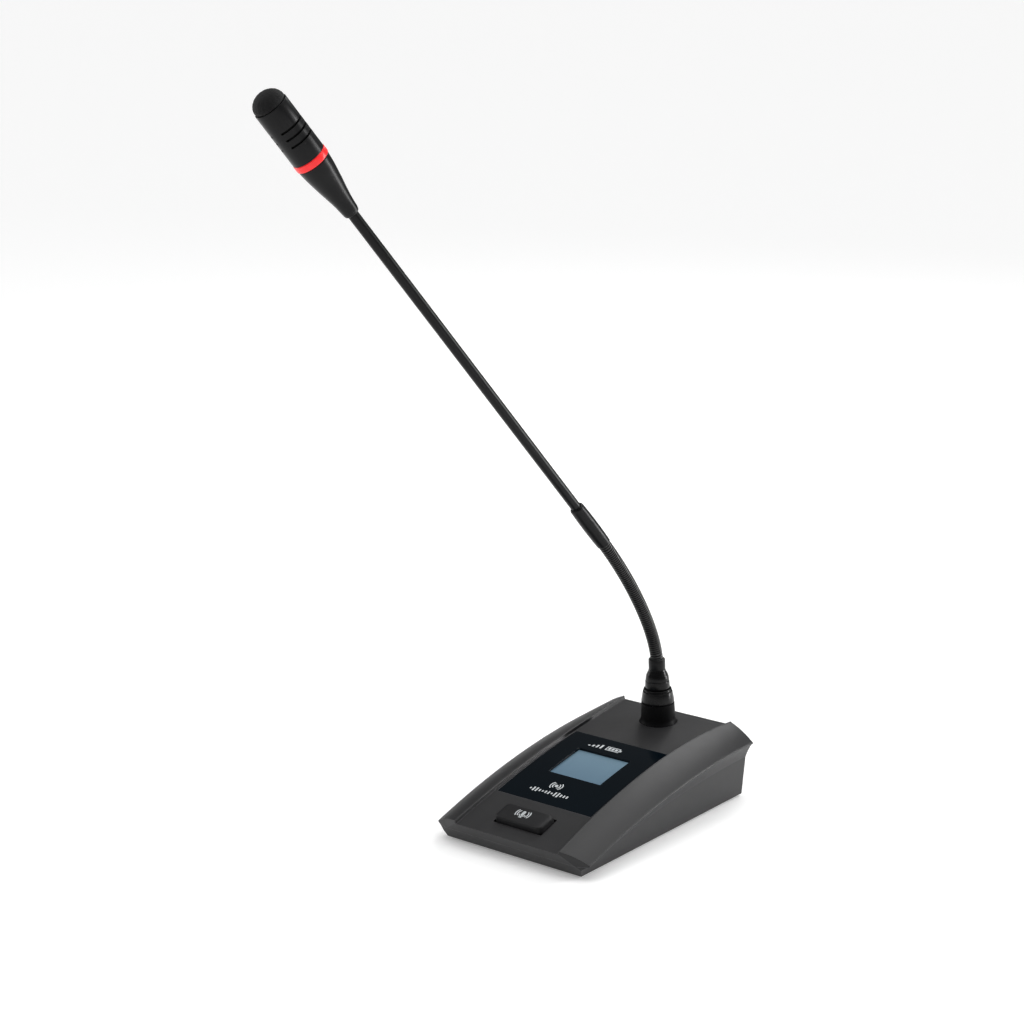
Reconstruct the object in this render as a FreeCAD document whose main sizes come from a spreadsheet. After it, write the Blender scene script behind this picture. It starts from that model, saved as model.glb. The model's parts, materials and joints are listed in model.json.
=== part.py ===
import FreeCAD, Part
import Sketcher
import math
import os

# Gooseneck desk microphone on a wedge-shaped base.
# Frame: origin on the desk under the middle of the base, +Z up, +Y to the back, +X to the right.
# Millimetres and degrees throughout.

V = FreeCAD.Vector
doc = FreeCAD.newDocument("gooseneck_microphone")
sheet = doc.addObject("Spreadsheet::Sheet", "sizes")


# ---------------------------------------------------------------- sizes

class Size:
    """A number together with the formula that gives it in the sheet."""

    def __init__(self, value, text):
        self.value = value
        self.text = text

    def __add__(self, other):
        return Size(self.value + number(other), "(%s + %s)" % (self.text, formula(other)))

    def __radd__(self, other):
        return self + other

    def __sub__(self, other):
        return Size(self.value - number(other), "(%s - %s)" % (self.text, formula(other)))

    def __rsub__(self, other):
        return Size(number(other) - self.value, "(%s - %s)" % (formula(other), self.text))

    def __mul__(self, other):
        return Size(self.value * number(other), "(%s * %s)" % (self.text, formula(other)))

    def __rmul__(self, other):
        return self * other

    def __truediv__(self, other):
        return Size(self.value / number(other), "(%s / %s)" % (self.text, formula(other)))

    def __neg__(self):
        return Size(-self.value, "(0 - %s)" % self.text)


def number(thing):
    return thing.value if isinstance(thing, Size) else float(thing)


def formula(thing):
    return thing.text if isinstance(thing, Size) else repr(float(thing))


cell_count = 0


def size(alias, value):
    """Write one plain number into the sheet and return it as a Size."""
    global cell_count
    cell_count += 1
    sheet.set("A%d" % cell_count, alias)
    sheet.set("B%d" % cell_count, "%.6f" % value)
    sheet.setAlias("B%d" % cell_count, alias)
    return Size(float("%.6f" % value), "sizes." + alias)


# base casing
base_length = size("base_length", 174)
pad_proud = size("pad_proud", 1.5)
crest_front = size("crest_front", 16.0)
crest_back = size("crest_back", 45.1)
crease_front = size("crease_front", 7.8)
crease_back = size("crease_back", 34.7)
deck_bow = size("deck_bow", 6.85)
crest_half_front = size("crest_half_front", 37.9)
crest_half_waist = size("crest_half_waist", 36.0)
crest_half_back = size("crest_half_back", 40.2)
crease_half_front = size("crease_half_front", 55.0)
crease_half_back = size("crease_half_back", 57.0)
foot_half_front = size("foot_half_front", 48.5)
foot_half_back = size("foot_half_back", 51.7)
wing_bulge = size("wing_bulge", 0.8)
wing_sweep = size("wing_sweep", 5.7)
bank_height = size("bank_height", 2.0)
bank_width = size("bank_width", 1.0)
crest_round = size("crest_round", 0.5)
crease_land = size("crease_land", 0.7)
undercut = size("undercut", 4.6)
undercut_height = size("undercut_height", 9.0)
front_rake = size("front_rake", 6.5)
back_rake = size("back_rake", 3.3)
seam_step = size("seam_step", 0.5)
seam_relief = size("seam_relief", 0.136364)
lip_walls = size("lip_walls", 1.4)
wall = size("wall", 2.2)
fit_gap = size("fit_gap", 0.15)
hole_gap = size("hole_gap", 0.05)

# lens and display
lens_half = size("lens_half", 34.0)
lens_from_front = size("lens_from_front", 35.7)
lens_length = size("lens_length", 78.5)
lens_thick = size("lens_thick", 1.4)
window_half = size("window_half", 19.1)
window_length = size("window_length", 31.5)
window_from_lens = size("window_from_lens", 45.3)
panel_margin = size("panel_margin", 3.2)
panel_thick = size("panel_thick", 2.2)
backlight_thick = size("backlight_thick", 1.6)

# talk button
button_half = size("button_half", 17.2)
button_depth = size("button_depth", 15.5)
button_from_front = size("button_from_front", 17.75)
button_height = size("button_height", 4.0)
button_slope = size("button_slope", 1.5)
button_travel = size("button_travel", 0.8)
button_skirt = size("button_skirt", 2.6)
button_gap = size("button_gap", 0.3)

# socket and plug
socket_from_back = size("socket_from_back", 20.0)
socket_tilt = size("socket_tilt", 4.0)
collar_bore = size("collar_bore", 9.55)
collar_wall = size("collar_wall", 1.15)
collar_foot = size("collar_foot", 1.2)
collar_taper = size("collar_taper", 0.4)
collar_height = size("collar_height", 13.0)
collar_below = size("collar_below", 9.0)
thread_wall = size("thread_wall", 0.85)
locknut_wall = size("locknut_wall", 2.6)
locknut_thick = size("locknut_thick", 3.0)
pin_radius = size("pin_radius", 1.2)
pin_circle = size("pin_circle", 4.2)
pin_length = size("pin_length", 9.0)
contact_wall = size("contact_wall", 0.5)
slide_gap = size("slide_gap", 0.1)
nose_wall = size("nose_wall", 1.45)
stem_shoulder = size("stem_shoulder", 1.95)
ring_wall = size("ring_wall", 1.3)
ring_flare = size("ring_flare", 1.45)
ring_clear = size("ring_clear", 0.2)
ring_height = size("ring_height", 9.0)
thread_step = size("thread_step", 1.3)
bell_wall = size("bell_wall", 1.5)
shell_straight = size("shell_straight", 5.0)
shell_height = size("shell_height", 12.6)
ferrule_wall = size("ferrule_wall", 1.25)
ferrule_height = size("ferrule_height", 6.8)

# flexible neck
neck_radius = size("neck_radius", 3.95)
neck_length = size("neck_length", 88.0)
neck_gap = size("neck_gap", 0.9)
neck_clear = size("neck_clear", 0.4)
neck_bore = size("neck_bore", 2.0)
rib_pitch = size("rib_pitch", 1.2)
rib_depth = size("rib_depth", 0.3)
even_bend = size("even_bend", 1.6)
first_bend = size("first_bend", 7.0)
bend_fade = size("bend_fade", 0.55)
bend_heading = size("bend_heading", 24.0)

# boom and head, measured along the boom from the sleeve's lower end
sleeve_length = size("sleeve_length", 32.5)
sleeve_wall = size("sleeve_wall", 0.45)
sleeve_bulge = size("sleeve_bulge", 0.3)
tube_radius = size("tube_radius", 3.15)
tube_wall = size("tube_wall", 0.6)
cone_start = size("cone_start", 263.3)
cone_length = size("cone_length", 36.5)
cone_start_radius = size("cone_start_radius", 4.6)
glow_length = size("glow_length", 4.2)
glow_proud = size("glow_proud", 0.25)
head_radius = size("head_radius", 9.85)
head_wall = size("head_wall", 1.3)
barrel_length = size("barrel_length", 33.9)
slot_width = size("slot_width", 1.5)
slot_pitch = size("slot_pitch", 4.6)
slot_first = size("slot_first", 11.5)
slot_arc = size("slot_arc", 140.0)
foam_gap = size("foam_gap", 0.1)
foam_dome = size("foam_dome", 8.6)
foam_depth = size("foam_depth", 7.0)
foam_crown = size("foam_crown", 0.8)
capsule_radius = size("capsule_radius", 4.9)
capsule_length = size("capsule_length", 6.0)

# base inside
pad_half = size("pad_half", 38.0)
pad_length = size("pad_length", 128.0)
ballast_half = size("ballast_half", 24.0)
ballast_length = size("ballast_length", 104.0)
ballast_thick = size("ballast_thick", 3.0)
board_half = size("board_half", 33.0)
board_length = size("board_length", 62.0)
board_middle = size("board_middle", -18.0)
board_thick = size("board_thick", 1.6)
board_height = size("board_height", 12.0)
standoff_radius = size("standoff_radius", 2.6)
cell_radius = size("cell_radius", 9.2)
cell_length = size("cell_length", 65.0)
battery_middle = size("battery_middle", 38.0)
screw_radius = size("screw_radius", 1.45)
screw_head_radius = size("screw_head_radius", 2.8)
screw_head_height = size("screw_head_height", 1.8)
screw_bite = size("screw_bite", 6.0)
post_radius = size("post_radius", 4.0)
post_half_front = size("post_half_front", 43.0)
post_half_back = size("post_half_back", 45.5)
post_from_front = size("post_from_front", 27.0)
post_from_back = size("post_from_back", 13.0)
inlet_half = size("inlet_half", 4.6)
inlet_height = size("inlet_height", 11.0)
inlet_depth = size("inlet_depth", 13.0)

# places and radii that follow from the sizes above
half = base_length / 2
link_count = 11
lens_front = -half + lens_from_front
lens_back = lens_front + lens_length
window_middle = lens_front + window_from_lens
button_middle = -half + button_from_front
socket_back = half - socket_from_back
post_front = -half + post_from_front
post_back = half - post_from_back
collar_radius = collar_bore + collar_wall
collar_foot_radius = collar_radius + collar_foot
collar_top_radius = collar_radius - collar_taper
collar_thread_radius = collar_bore + thread_wall
locknut_radius = collar_thread_radius + locknut_wall
nose_radius = collar_bore - slide_gap
nose_inner = nose_radius - nose_wall
insert_radius = nose_inner - slide_gap
stem_radius = nose_radius - stem_shoulder
thread_radius = stem_radius - thread_step
ring_top_radius = stem_radius + ring_wall
ring_bottom_radius = ring_top_radius + ring_flare
shell_radius = thread_radius + bell_wall
ferrule_radius = neck_radius + ferrule_wall
neck_start = collar_height + ring_clear + ring_height + shell_height + ferrule_height + neck_clear
sleeve_end_radius = neck_radius + sleeve_wall
sleeve_mid_radius = sleeve_end_radius + sleeve_bulge
ring_start = cone_start + cone_length


# ---------------------------------------------------------------- building helpers

def bind(obj, prop, thing):
    """Set a property and tie it to the sheet where the value comes from there."""
    if isinstance(thing, Size):
        obj.setExpression(prop, thing.text)
    else:
        setattr(obj, prop, thing)


def new_body(label):
    body = doc.addObject("PartDesign::Body", label)
    body.Label = label
    return body


def new_sketch(body, plane, offset=0):
    """A sketch on one of the body's own origin planes, pushed out along the plane's normal."""
    sketch = body.newObject("Sketcher::SketchObject", "outline")
    origin_plane = [item for item in body.Origin.OriginFeatures if item.Role == plane][0]
    sketch.AttachmentSupport = [(origin_plane, "")]
    sketch.MapMode = "FlatFace"
    if isinstance(offset, Size):
        sketch.setExpression("AttachmentOffset.Base.z", offset.text)
    elif offset:
        sketch.AttachmentOffset = FreeCAD.Placement(V(0, 0, offset), FreeCAD.Rotation())
    return sketch


def pin_point(sketch, geometry, position, point):
    """Fix one vertex of the sketch at a pair of sizes."""
    axes = (("DistanceX", -2, point[0]), ("DistanceY", -1, point[1]))
    for kind, axis, thing in axes:
        if abs(number(thing)) < 1e-9:
            sketch.addConstraint(Sketcher.Constraint("PointOnObject", geometry, position, axis))
            continue
        index = sketch.addConstraint(
            Sketcher.Constraint(kind, -1, 1, geometry, position, number(thing)))
        if isinstance(thing, Size):
            sketch.setExpression("Constraints[%d]" % index, thing.text)


def draw(sketch, points):
    """Closed outline. A point is (x, y); an arc's middle point is ("arc", x, y)."""
    corners = [p for p in points if p[0] != "arc"]
    edges = []
    for index, point in enumerate(points):
        if point[0] == "arc":
            continue
        following = points[(index + 1) % len(points)]
        middle = following[1:] if following[0] == "arc" else None
        edges.append((point, middle))
    ends = []
    for number_of_edge, (start, middle) in enumerate(edges):
        finish = corners[(number_of_edge + 1) % len(corners)]
        a = V(number(start[0]), number(start[1]), 0)
        b = V(number(finish[0]), number(finish[1]), 0)
        if middle is None:
            geometry = sketch.addGeometry(Part.LineSegment(a, b), False)
            ends.append((geometry, 1, 2, None))
        else:
            m = V(number(middle[0]), number(middle[1]), 0)
            geometry = sketch.addGeometry(Part.Arc(a, m, b), False)
            forward = sketch.getPoint(geometry, 1).distanceToPoint(a) < 1e-6
            ends.append((geometry, 1 if forward else 2, 2 if forward else 1, middle))
    for index, (geometry, start, finish, middle) in enumerate(ends):
        after = ends[(index + 1) % len(ends)]
        sketch.addConstraint(Sketcher.Constraint("Coincident", geometry, finish, after[0], after[1]))
        pin_point(sketch, geometry, start, corners[index])
        if middle is not None:
            m = V(number(middle[0]), number(middle[1]), 0)
            mark = sketch.addGeometry(Part.Point(m), True)
            pin_point(sketch, mark, 1, middle)
            sketch.addConstraint(Sketcher.Constraint("PointOnObject", mark, 1, geometry))


def circle(sketch, x, y, radius):
    geometry = sketch.addGeometry(Part.Circle(V(number(x), number(y), 0), V(0, 0, 1), number(radius)))
    pin_point(sketch, geometry, 3, (x, y))
    index = sketch.addConstraint(Sketcher.Constraint("Radius", geometry, number(radius)))
    if isinstance(radius, Size):
        sketch.setExpression("Constraints[%d]" % index, radius.text)


def rectangle(x_low, x_high, y_low, y_high):
    return [(x_low, y_low), (x_high, y_low), (x_high, y_high), (x_low, y_high)]


def extrude(body, sketch, length, cut=False, both_sides=False):
    kind = "PartDesign::Pocket" if cut else "PartDesign::Pad"
    feature = body.newObject(kind, "cut" if cut else "pad")
    feature.Profile = sketch
    bind(feature, "Length", length)
    feature.SideType = "Symmetric" if both_sides else "One side"
    return feature


def turn(body, sketch, cut=False):
    feature = body.newObject("PartDesign::Groove" if cut else "PartDesign::Revolution", "turned")
    feature.Profile = sketch
    feature.ReferenceAxis = (sketch, ["V_Axis"])
    feature.Angle = 360
    return feature


def turned(label, points, place=None):
    """A round piece: the outline gives radius and height."""
    body = new_body(label)
    sketch = new_sketch(body, "XZ_Plane")
    draw(sketch, points)
    turn(body, sketch)
    if place is not None:
        body.Placement = place
    return body


def tube(r_out, r_in, low, high):
    return [(r_in, low), (r_out, low), (r_out, high), (r_in, high)]


def loft(body, sketches, cut=False):
    kind = "PartDesign::SubtractiveLoft" if cut else "PartDesign::AdditiveLoft"
    feature = body.newObject(kind, "loft")
    feature.Profile = sketches[0]
    feature.Sections = sketches[1:]
    return feature


def group(label, solids):
    """One node that holds several separate solids."""
    feature = doc.addObject("Part::Feature", label)
    feature.Label = label
    feature.Shape = Part.makeCompound(solids)
    return feature


def moved(shape, place):
    copy = shape.copy()
    copy.Placement = place.multiply(copy.Placement)
    return copy


# ---------------------------------------------------------------- the base's curves

def share(y):
    """How far along the base a place lies: 0 at the front, 1 at the back."""
    return (y + half.value) / base_length.value


def crest_height(y):
    s = share(y)
    rise = crest_back.value - crest_front.value
    return crest_front.value + rise * s + 4 * deck_bow.value * s * (1 - s)


def deck_height(y):
    return crest_height(y) - bank_height.value


def crease_height(y):
    s = share(y)
    rise = crease_back.value - crease_front.value
    return crease_front.value + rise * s + 4 * deck_bow.value * s * (1 - s)


def crest_half(y):
    s = share(y)
    waist = 0.6
    if s < waist:
        flare = crest_half_front.value - crest_half_waist.value
        return crest_half_waist.value + flare * (1 - s / waist) ** 2
    flare = crest_half_back.value - crest_half_waist.value
    return crest_half_waist.value + flare * ((s - waist) / (1 - waist)) ** 2


def crease_half(y):
    return crease_half_front.value + (crease_half_back.value - crease_half_front.value) * share(y)


def foot_half(y):
    return foot_half_front.value + (foot_half_back.value - foot_half_front.value) * share(y)


def deck_slope(y):
    step = 0.5
    return math.degrees(math.atan((deck_height(y + step) - deck_height(y - step)) / (2 * step)))


def mirrored(right):
    """The right half of an outline, from the middle outwards, and its mirror image."""
    left = []
    for point in reversed(right):
        if point[0] == "arc":
            left.append(("arc", -point[1], point[2]))
        else:
            left.append((-point[0], point[1]))
    return right + left


class Station:
    """The base's cross-section at one place along its length, as cells of the sheet."""

    def __init__(self, name, y):
        self.y = size("y_" + name, y)
        self.crest_x = size("crest_x_" + name, crest_half(y))
        self.crest_z = size("crest_z_" + name, crest_height(y))
        self.crease_x = size("crease_x_" + name, crease_half(y))
        self.crease_z = size("crease_z_" + name, crease_height(y))
        self.foot_x = size("foot_x_" + name, foot_half(y))
        reach = (crease_height(y) - pad_proud.value) / (crease_back.value - pad_proud.value)
        self.drop = size("drop_" + name, undercut_height.value * max(reach, 0.1))
        self.seam_z = self.crease_z - crease_land
        self.seam_x = self.crease_x - crease_land / 2

    def top_outer(self):
        wing_x = self.crest_x + crest_round
        wing_z = self.crest_z - crest_round / 2
        tip_x = self.crease_x - crease_land
        tip_z = self.crease_z + crease_land
        run = number(tip_x) - number(wing_x)
        fall = number(wing_z) - number(tip_z)
        chord = math.hypot(run, fall)
        return mirrored([
            (self.crest_x - bank_width, self.crest_z - bank_height),
            (self.crest_x - crest_round, self.crest_z - crest_round / 3),
            ("arc", self.crest_x, self.crest_z),
            (wing_x, wing_z),
            ("arc", (wing_x + tip_x) / 2 + wing_bulge * (fall / chord),
             (wing_z + tip_z) / 2 + wing_bulge * (run / chord)),
            (tip_x, tip_z),
            ("arc", self.crease_x, self.crease_z),
            (self.seam_x, self.seam_z)])

    def top_inner(self):
        return mirrored([
            (self.crest_x - bank_width, self.crest_z - bank_height - wall),
            (self.crease_x - wall * lip_walls, self.seam_z + wall * seam_relief),
            (self.crease_x - wall * lip_walls, self.seam_z - 1)])

    def bottom_outer(self):
        return mirrored([
            (self.seam_x - seam_step, self.seam_z),
            ("arc", self.crease_x - undercut * 0.6, self.seam_z - self.drop * 0.42),
            (self.crease_x - undercut, self.seam_z - self.drop),
            (self.foot_x, pad_proud)])

    def bottom_inner(self):
        return mirrored([
            (self.crease_x - undercut - wall, self.seam_z + 1),
            (self.foot_x - wall, pad_proud + wall)])


stations = []
part_ways = {"a": -0.04, "b": 0.15, "c": 0.35, "d": 0.55, "e": 0.75, "f": 0.9, "g": 1.04}
for name, part_way in part_ways.items():
    stations.append(Station(name, -half.value + part_way * base_length.value))
inner_front = Station("inner_front", -half.value + front_rake.value + wall.value)
inner_back = Station("inner_back", half.value - back_rake.value - wall.value)
inner_stations = [inner_front] + stations[1:-1] + [inner_back]


def section(body, station, points):
    """A cross-section sketch at one station. The XZ plane's normal points to the front."""
    sketch = new_sketch(body, "XZ_Plane", -station.y)
    draw(sketch, points)
    return sketch


def trim_ends(body):
    """Raked front and back faces, and the wing tips swept behind the lip."""
    reach = 40
    width = base_length * 2
    front = new_sketch(body, "YZ_Plane")
    lip = size("lip_height_" + body.Label, deck_height(-half.value))
    draw(front, [(-half, lip), (-half, crest_back + reach), (-half - reach, crest_back + reach),
                 (-half - reach, -reach), (-half + front_rake, -reach), (-half + front_rake, pad_proud)])
    extrude(body, front, width, cut=True, both_sides=True)
    back = new_sketch(body, "YZ_Plane")
    draw(back, [(half, crease_back), (half, crest_back + reach), (half + reach, crest_back + reach),
                (half + reach, -reach), (half - back_rake, -reach), (half - back_rake, pad_proud)])
    extrude(body, back, width, cut=True, both_sides=True)
    run = crease_half_front - crest_half_front
    for side in (1, -1):
        corner = new_sketch(body, "XY_Plane")
        far_x = side * (crest_half_front + run * 2)
        near_x = side * crest_half_front
        draw(corner, [(near_x, -half), (far_x, -half + wing_sweep * 2), (far_x, -half - reach),
                      (near_x, -half - reach)])
        extrude(body, corner, width, cut=True, both_sides=True)


def place_on_deck(y, sink=0.0):
    """A placement on the deck at the middle line, with +Z square to the deck there."""
    slope = deck_slope(y)
    turn_x = FreeCAD.Rotation(V(1, 0, 0), slope)
    up = turn_x.multVec(V(0, 0, 1))
    return FreeCAD.Placement(V(0, y, deck_height(y)) - up * sink, turn_x)


def place_post(x, y, z):
    return FreeCAD.Placement(V(x, y, z), FreeCAD.Rotation())


# ---------------------------------------------------------------- places worked out from the sizes

def wing_height(x, y):
    """Height of the wing's outside at a distance x from the middle line."""
    run = (x - crest_half(y)) / (crease_half(y) - crest_half(y))
    return crest_height(y) + (crease_height(y) - crest_height(y)) * run + wing_bulge.value


def wing_inside(x, y):
    """Height of the wing's inside at a distance x from the middle line."""
    inner = crest_half(y) - bank_width.value
    outer = crease_half(y) - (wall * lip_walls).value
    low = crease_height(y) - crease_land.value + (wall * seam_relief).value
    top = deck_height(y) - wall.value
    return top + (low - top) * (x - inner) / (outer - inner)


floor_top = pad_proud + wall
screw_seat = 3.0
post_joins = {post_front: size("post_join_front", 9.0), post_back: size("post_join_back", 25.0)}
post_places = [(side, x, y) for x, y in ((post_half_front, post_front), (post_half_back, post_back))
               for side in (1, -1)]

button_place = place_on_deck(button_middle.value)
window_place = place_on_deck(window_middle.value)
plug_place = FreeCAD.Placement(V(0, socket_back.value, deck_height(socket_back.value)),
                               FreeCAD.Rotation(V(1, 0, 0), socket_tilt.value))
seat_sink = size("seat_sink", 0.35)


def neck_places():
    """Placements at the neck's bends, from the plug up. +Z runs along the piece above each bend."""
    frame = plug_place.Rotation
    up = frame.multVec(V(0, 0, 1))
    heading = math.radians(bend_heading.value)
    ahead = frame.multVec(V(-math.sin(heading), -math.cos(heading), 0))
    across = ahead.cross(up)
    point = plug_place.Base + up * neck_start.value
    lean = 0.0
    places = []
    for index in range(link_count + 1):
        lean += even_bend.value + first_bend.value * bend_fade.value ** index
        along = up * math.cos(math.radians(lean)) + ahead * math.sin(math.radians(lean))
        rotation = FreeCAD.Rotation(across, along.cross(across), along, "ZXY")
        places.append(FreeCAD.Placement(point, rotation))
        point = point + along * (neck_length.value / link_count)
    return places


bends = neck_places()
boom_place = bends[-1]


# ---------------------------------------------------------------- base casing

def tilted_sketch(body, place):
    """A sketch square to a tilted placement, such as the deck at one place."""
    sketch = new_sketch(body, "XY_Plane")
    sketch.AttachmentOffset = place
    return sketch


def curved_strip(sketch, front, back, high, low):
    """A strip in side view that follows the deck's curve between two heights measured from it."""
    middle = (front.value + back.value) / 2
    names = {}
    for key, y in (("front", front.value), ("middle", middle), ("back", back.value)):
        names[key] = size("deck_%s_%d" % (key, cell_count), deck_height(y))
    centre = (front + back) / 2
    draw(sketch, [(front, names["front"] + low), ("arc", centre, names["middle"] + low),
                  (back, names["back"] + low), (back, names["back"] + high),
                  ("arc", centre, names["middle"] + high), (front, names["front"] + high)])


def make_top_cover():
    body = new_body("top_cover")
    loft(body, [section(body, s, s.top_outer()) for s in stations])
    trim_ends(body)
    loft(body, [section(body, s, s.top_inner()) for s in inner_stations], cut=True)
    for side, x, y in post_places:
        join = post_joins[y]
        sketch = new_sketch(body, "XY_Plane", join)
        circle(sketch, side * x, y, post_radius)
        top = size("post_top_%d" % cell_count,
                   (wing_height(x.value, y.value) + wing_inside(x.value, y.value)) / 2)
        extrude(body, sketch, top - join)
        pilot = new_sketch(body, "XY_Plane", join)
        circle(pilot, side * x, y, screw_radius)
        extrude(body, pilot, (screw_bite + 0.5) * 2, cut=True, both_sides=True)
    recess = new_sketch(body, "YZ_Plane")
    curved_strip(recess, lens_front - fit_gap, lens_back + fit_gap, 4, -lens_thick)
    extrude(body, recess, (lens_half + fit_gap) * 2, cut=True, both_sides=True)
    window = new_sketch(body, "XY_Plane")
    reach_x = window_half + panel_margin + 0.5
    reach_y = window_length / 2 + panel_margin + 0.5
    draw(window, rectangle(-reach_x, reach_x, window_middle - reach_y, window_middle + reach_y))
    extrude(body, window, crest_back * 4, cut=True, both_sides=True)
    opening = tilted_sketch(body, button_place)
    reach_x = button_half + button_gap
    reach_y = button_depth / 2 + button_gap
    draw(opening, rectangle(-reach_x, reach_x, -reach_y, reach_y))
    extrude(body, opening, wall * 4, cut=True, both_sides=True)
    hole = tilted_sketch(body, plug_place)
    circle(hole, 0, 0, collar_thread_radius + hole_gap)
    extrude(body, hole, wall * 6, cut=True, both_sides=True)
    seat = tilted_sketch(body, plug_place.multiply(FreeCAD.Placement(V(0, 0, 2.0), FreeCAD.Rotation())))
    circle(seat, 0, 0, collar_foot_radius + hole_gap)
    extrude(body, seat, (seat_sink + 2.0) * 2, cut=True, both_sides=True)


def make_bottom_cover():
    body = new_body("bottom_cover")
    loft(body, [section(body, s, s.bottom_outer()) for s in stations])
    trim_ends(body)
    loft(body, [section(body, s, s.bottom_inner()) for s in inner_stations], cut=True)
    for side, x, y in post_places:
        join = post_joins[y]
        well = new_sketch(body, "XY_Plane", pad_proud)
        circle(well, side * x, y, screw_head_radius + hole_gap * 4 + wall * 0.7)
        extrude(body, well, join - pad_proud)
        bore = new_sketch(body, "XY_Plane")
        circle(bore, side * x, y, screw_head_radius + hole_gap * 4)
        extrude(body, bore, (join - screw_seat) * 2, cut=True, both_sides=True)
        hole = new_sketch(body, "XY_Plane")
        circle(hole, side * x, y, screw_radius + hole_gap * 3)
        extrude(body, hole, (join + 1) * 2, cut=True, both_sides=True)
    for x, y in board_holes:
        post = new_sketch(body, "XY_Plane", floor_top - 1)
        circle(post, x, y, standoff_radius)
        extrude(body, post, board_height - floor_top + 1)
        pilot = new_sketch(body, "XY_Plane", board_height)
        circle(pilot, x, y, board_screw_radius)
        extrude(body, pilot, (board_screw_bite + 0.5) * 2, cut=True, both_sides=True)
    inlet = new_sketch(body, "XZ_Plane", -half + back_rake / 2)
    draw(inlet, rectangle(-inlet_half - fit_gap, inlet_half + fit_gap,
                          inlet_height - inlet_rise - fit_gap, inlet_height + inlet_rise + fit_gap))
    extrude(body, inlet, wall * 5, cut=True, both_sides=True)
    rest = new_sketch(body, "XY_Plane", floor_top - 1)
    draw(rest, rectangle(-inlet_half * 1.6, inlet_half * 1.6, inlet_front, inlet_front + inlet_rest))
    extrude(body, rest, inlet_height - inlet_rise - inlet_board_thick - floor_top + 1)


board_screw_radius = size("board_screw_radius", 1.1)
board_screw_head = size("board_screw_head", 2.2)
board_screw_bite = size("board_screw_bite", 5.0)
board_inset = size("board_inset", 4.0)
board_holes = [(side * (board_half - board_inset), board_middle + end * (board_length / 2 - board_inset))
               for side in (1, -1) for end in (1, -1)]
inlet_rise = size("inlet_rise", 1.7)
inlet_rest = size("inlet_rest", 10.0)
inlet_board_thick = size("inlet_board_thick", 1.2)
inlet_front = half - back_rake - inlet_depth
make_top_cover()
make_bottom_cover()


def slab(label, x_low, x_high, y_low, y_high, low, thick, place=None):
    """A plain rectangular piece: a board, a plate or a moulded block."""
    body = new_body(label)
    sketch = new_sketch(body, "XY_Plane", low)
    draw(sketch, rectangle(x_low, x_high, y_low, y_high))
    extrude(body, sketch, thick)
    if place is not None:
        body.Placement = place
    return body


# ---------------------------------------------------------------- lens and display

def make_display_lens():
    body = new_body("display_lens")
    strip = new_sketch(body, "YZ_Plane")
    curved_strip(strip, lens_front, lens_back, 0, -lens_thick)
    extrude(body, strip, lens_half * 2, both_sides=True)
    window = new_sketch(body, "XY_Plane")
    draw(window, rectangle(-window_half, window_half,
                           window_middle - window_length / 2, window_middle + window_length / 2))
    extrude(body, window, crest_back * 4, cut=True, both_sides=True)


make_display_lens()
panel_x = window_half + panel_margin
panel_y = window_length / 2 + panel_margin
panel_top = -lens_thick - 0.4
slab("display_panel", -panel_x, panel_x, -panel_y, panel_y,
     panel_top - panel_thick, panel_thick, window_place)
slab("display_backlight", -panel_x, panel_x, -panel_y, panel_y,
     panel_top - panel_thick - backlight_thick, backlight_thick, window_place)


# ---------------------------------------------------------------- talk button

switch_top = size("switch_top", -6.2)
switch_half = size("switch_half", 3.0)
switch_height = size("switch_height", 3.4)
plunger_radius = size("plunger_radius", 1.7)
button_board_half = size("button_board_half", 15.0)
button_board_depth = size("button_board_depth", 12.0)
button_board_thick = size("button_board_thick", 1.2)
tab_reach = size("tab_reach", 1.5)
tab_thick = size("tab_thick", 1.0)


def make_talk_button():
    body = new_body("talk_button")
    depth = button_depth / 2
    skirt = new_sketch(body, "XY_Plane", -button_skirt)
    draw(skirt, rectangle(-button_half, button_half, -depth, depth))
    extrude(body, skirt, button_skirt)
    foot = new_sketch(body, "XY_Plane")
    draw(foot, rectangle(-button_half, button_half, -depth, depth))
    top = new_sketch(body, "XY_Plane", button_height)
    top_depth = depth - button_slope / 2
    draw(top, rectangle(-button_half + button_slope, button_half - button_slope, -top_depth, top_depth))
    loft(body, [foot, top])
    tabs = new_sketch(body, "XY_Plane", -button_skirt - tab_thick)
    draw(tabs, rectangle(-button_half - tab_reach, button_half + tab_reach, -depth / 2, depth / 2))
    extrude(body, tabs, tab_thick)
    plunger = new_sketch(body, "XY_Plane", switch_top + 0.1)
    circle(plunger, 0, 0, plunger_radius)
    extrude(body, plunger, -switch_top - button_skirt)
    body.Placement = button_place


def make_button_switch():
    body = new_body("button_switch")
    case = new_sketch(body, "XY_Plane", switch_top - switch_height)
    draw(case, rectangle(-switch_half, switch_half, -switch_half, switch_half))
    extrude(body, case, switch_height - 1.2)
    stem = new_sketch(body, "XY_Plane", switch_top - switch_height)
    circle(stem, 0, 0, plunger_radius)
    extrude(body, stem, switch_height - button_travel - 0.1)
    body.Placement = button_place


make_talk_button()
make_button_switch()
slab("button_board", -button_board_half, button_board_half, -button_board_depth / 2, button_board_depth / 2,
     switch_top - switch_height - button_board_thick, button_board_thick, button_place)


# ---------------------------------------------------------------- inside the base

def drilled(body, places, radius, low, depth):
    sketch = new_sketch(body, "XY_Plane", low)
    for x, y in places:
        circle(sketch, x, y, radius)
    extrude(body, sketch, depth * 4, cut=True, both_sides=True)


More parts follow.
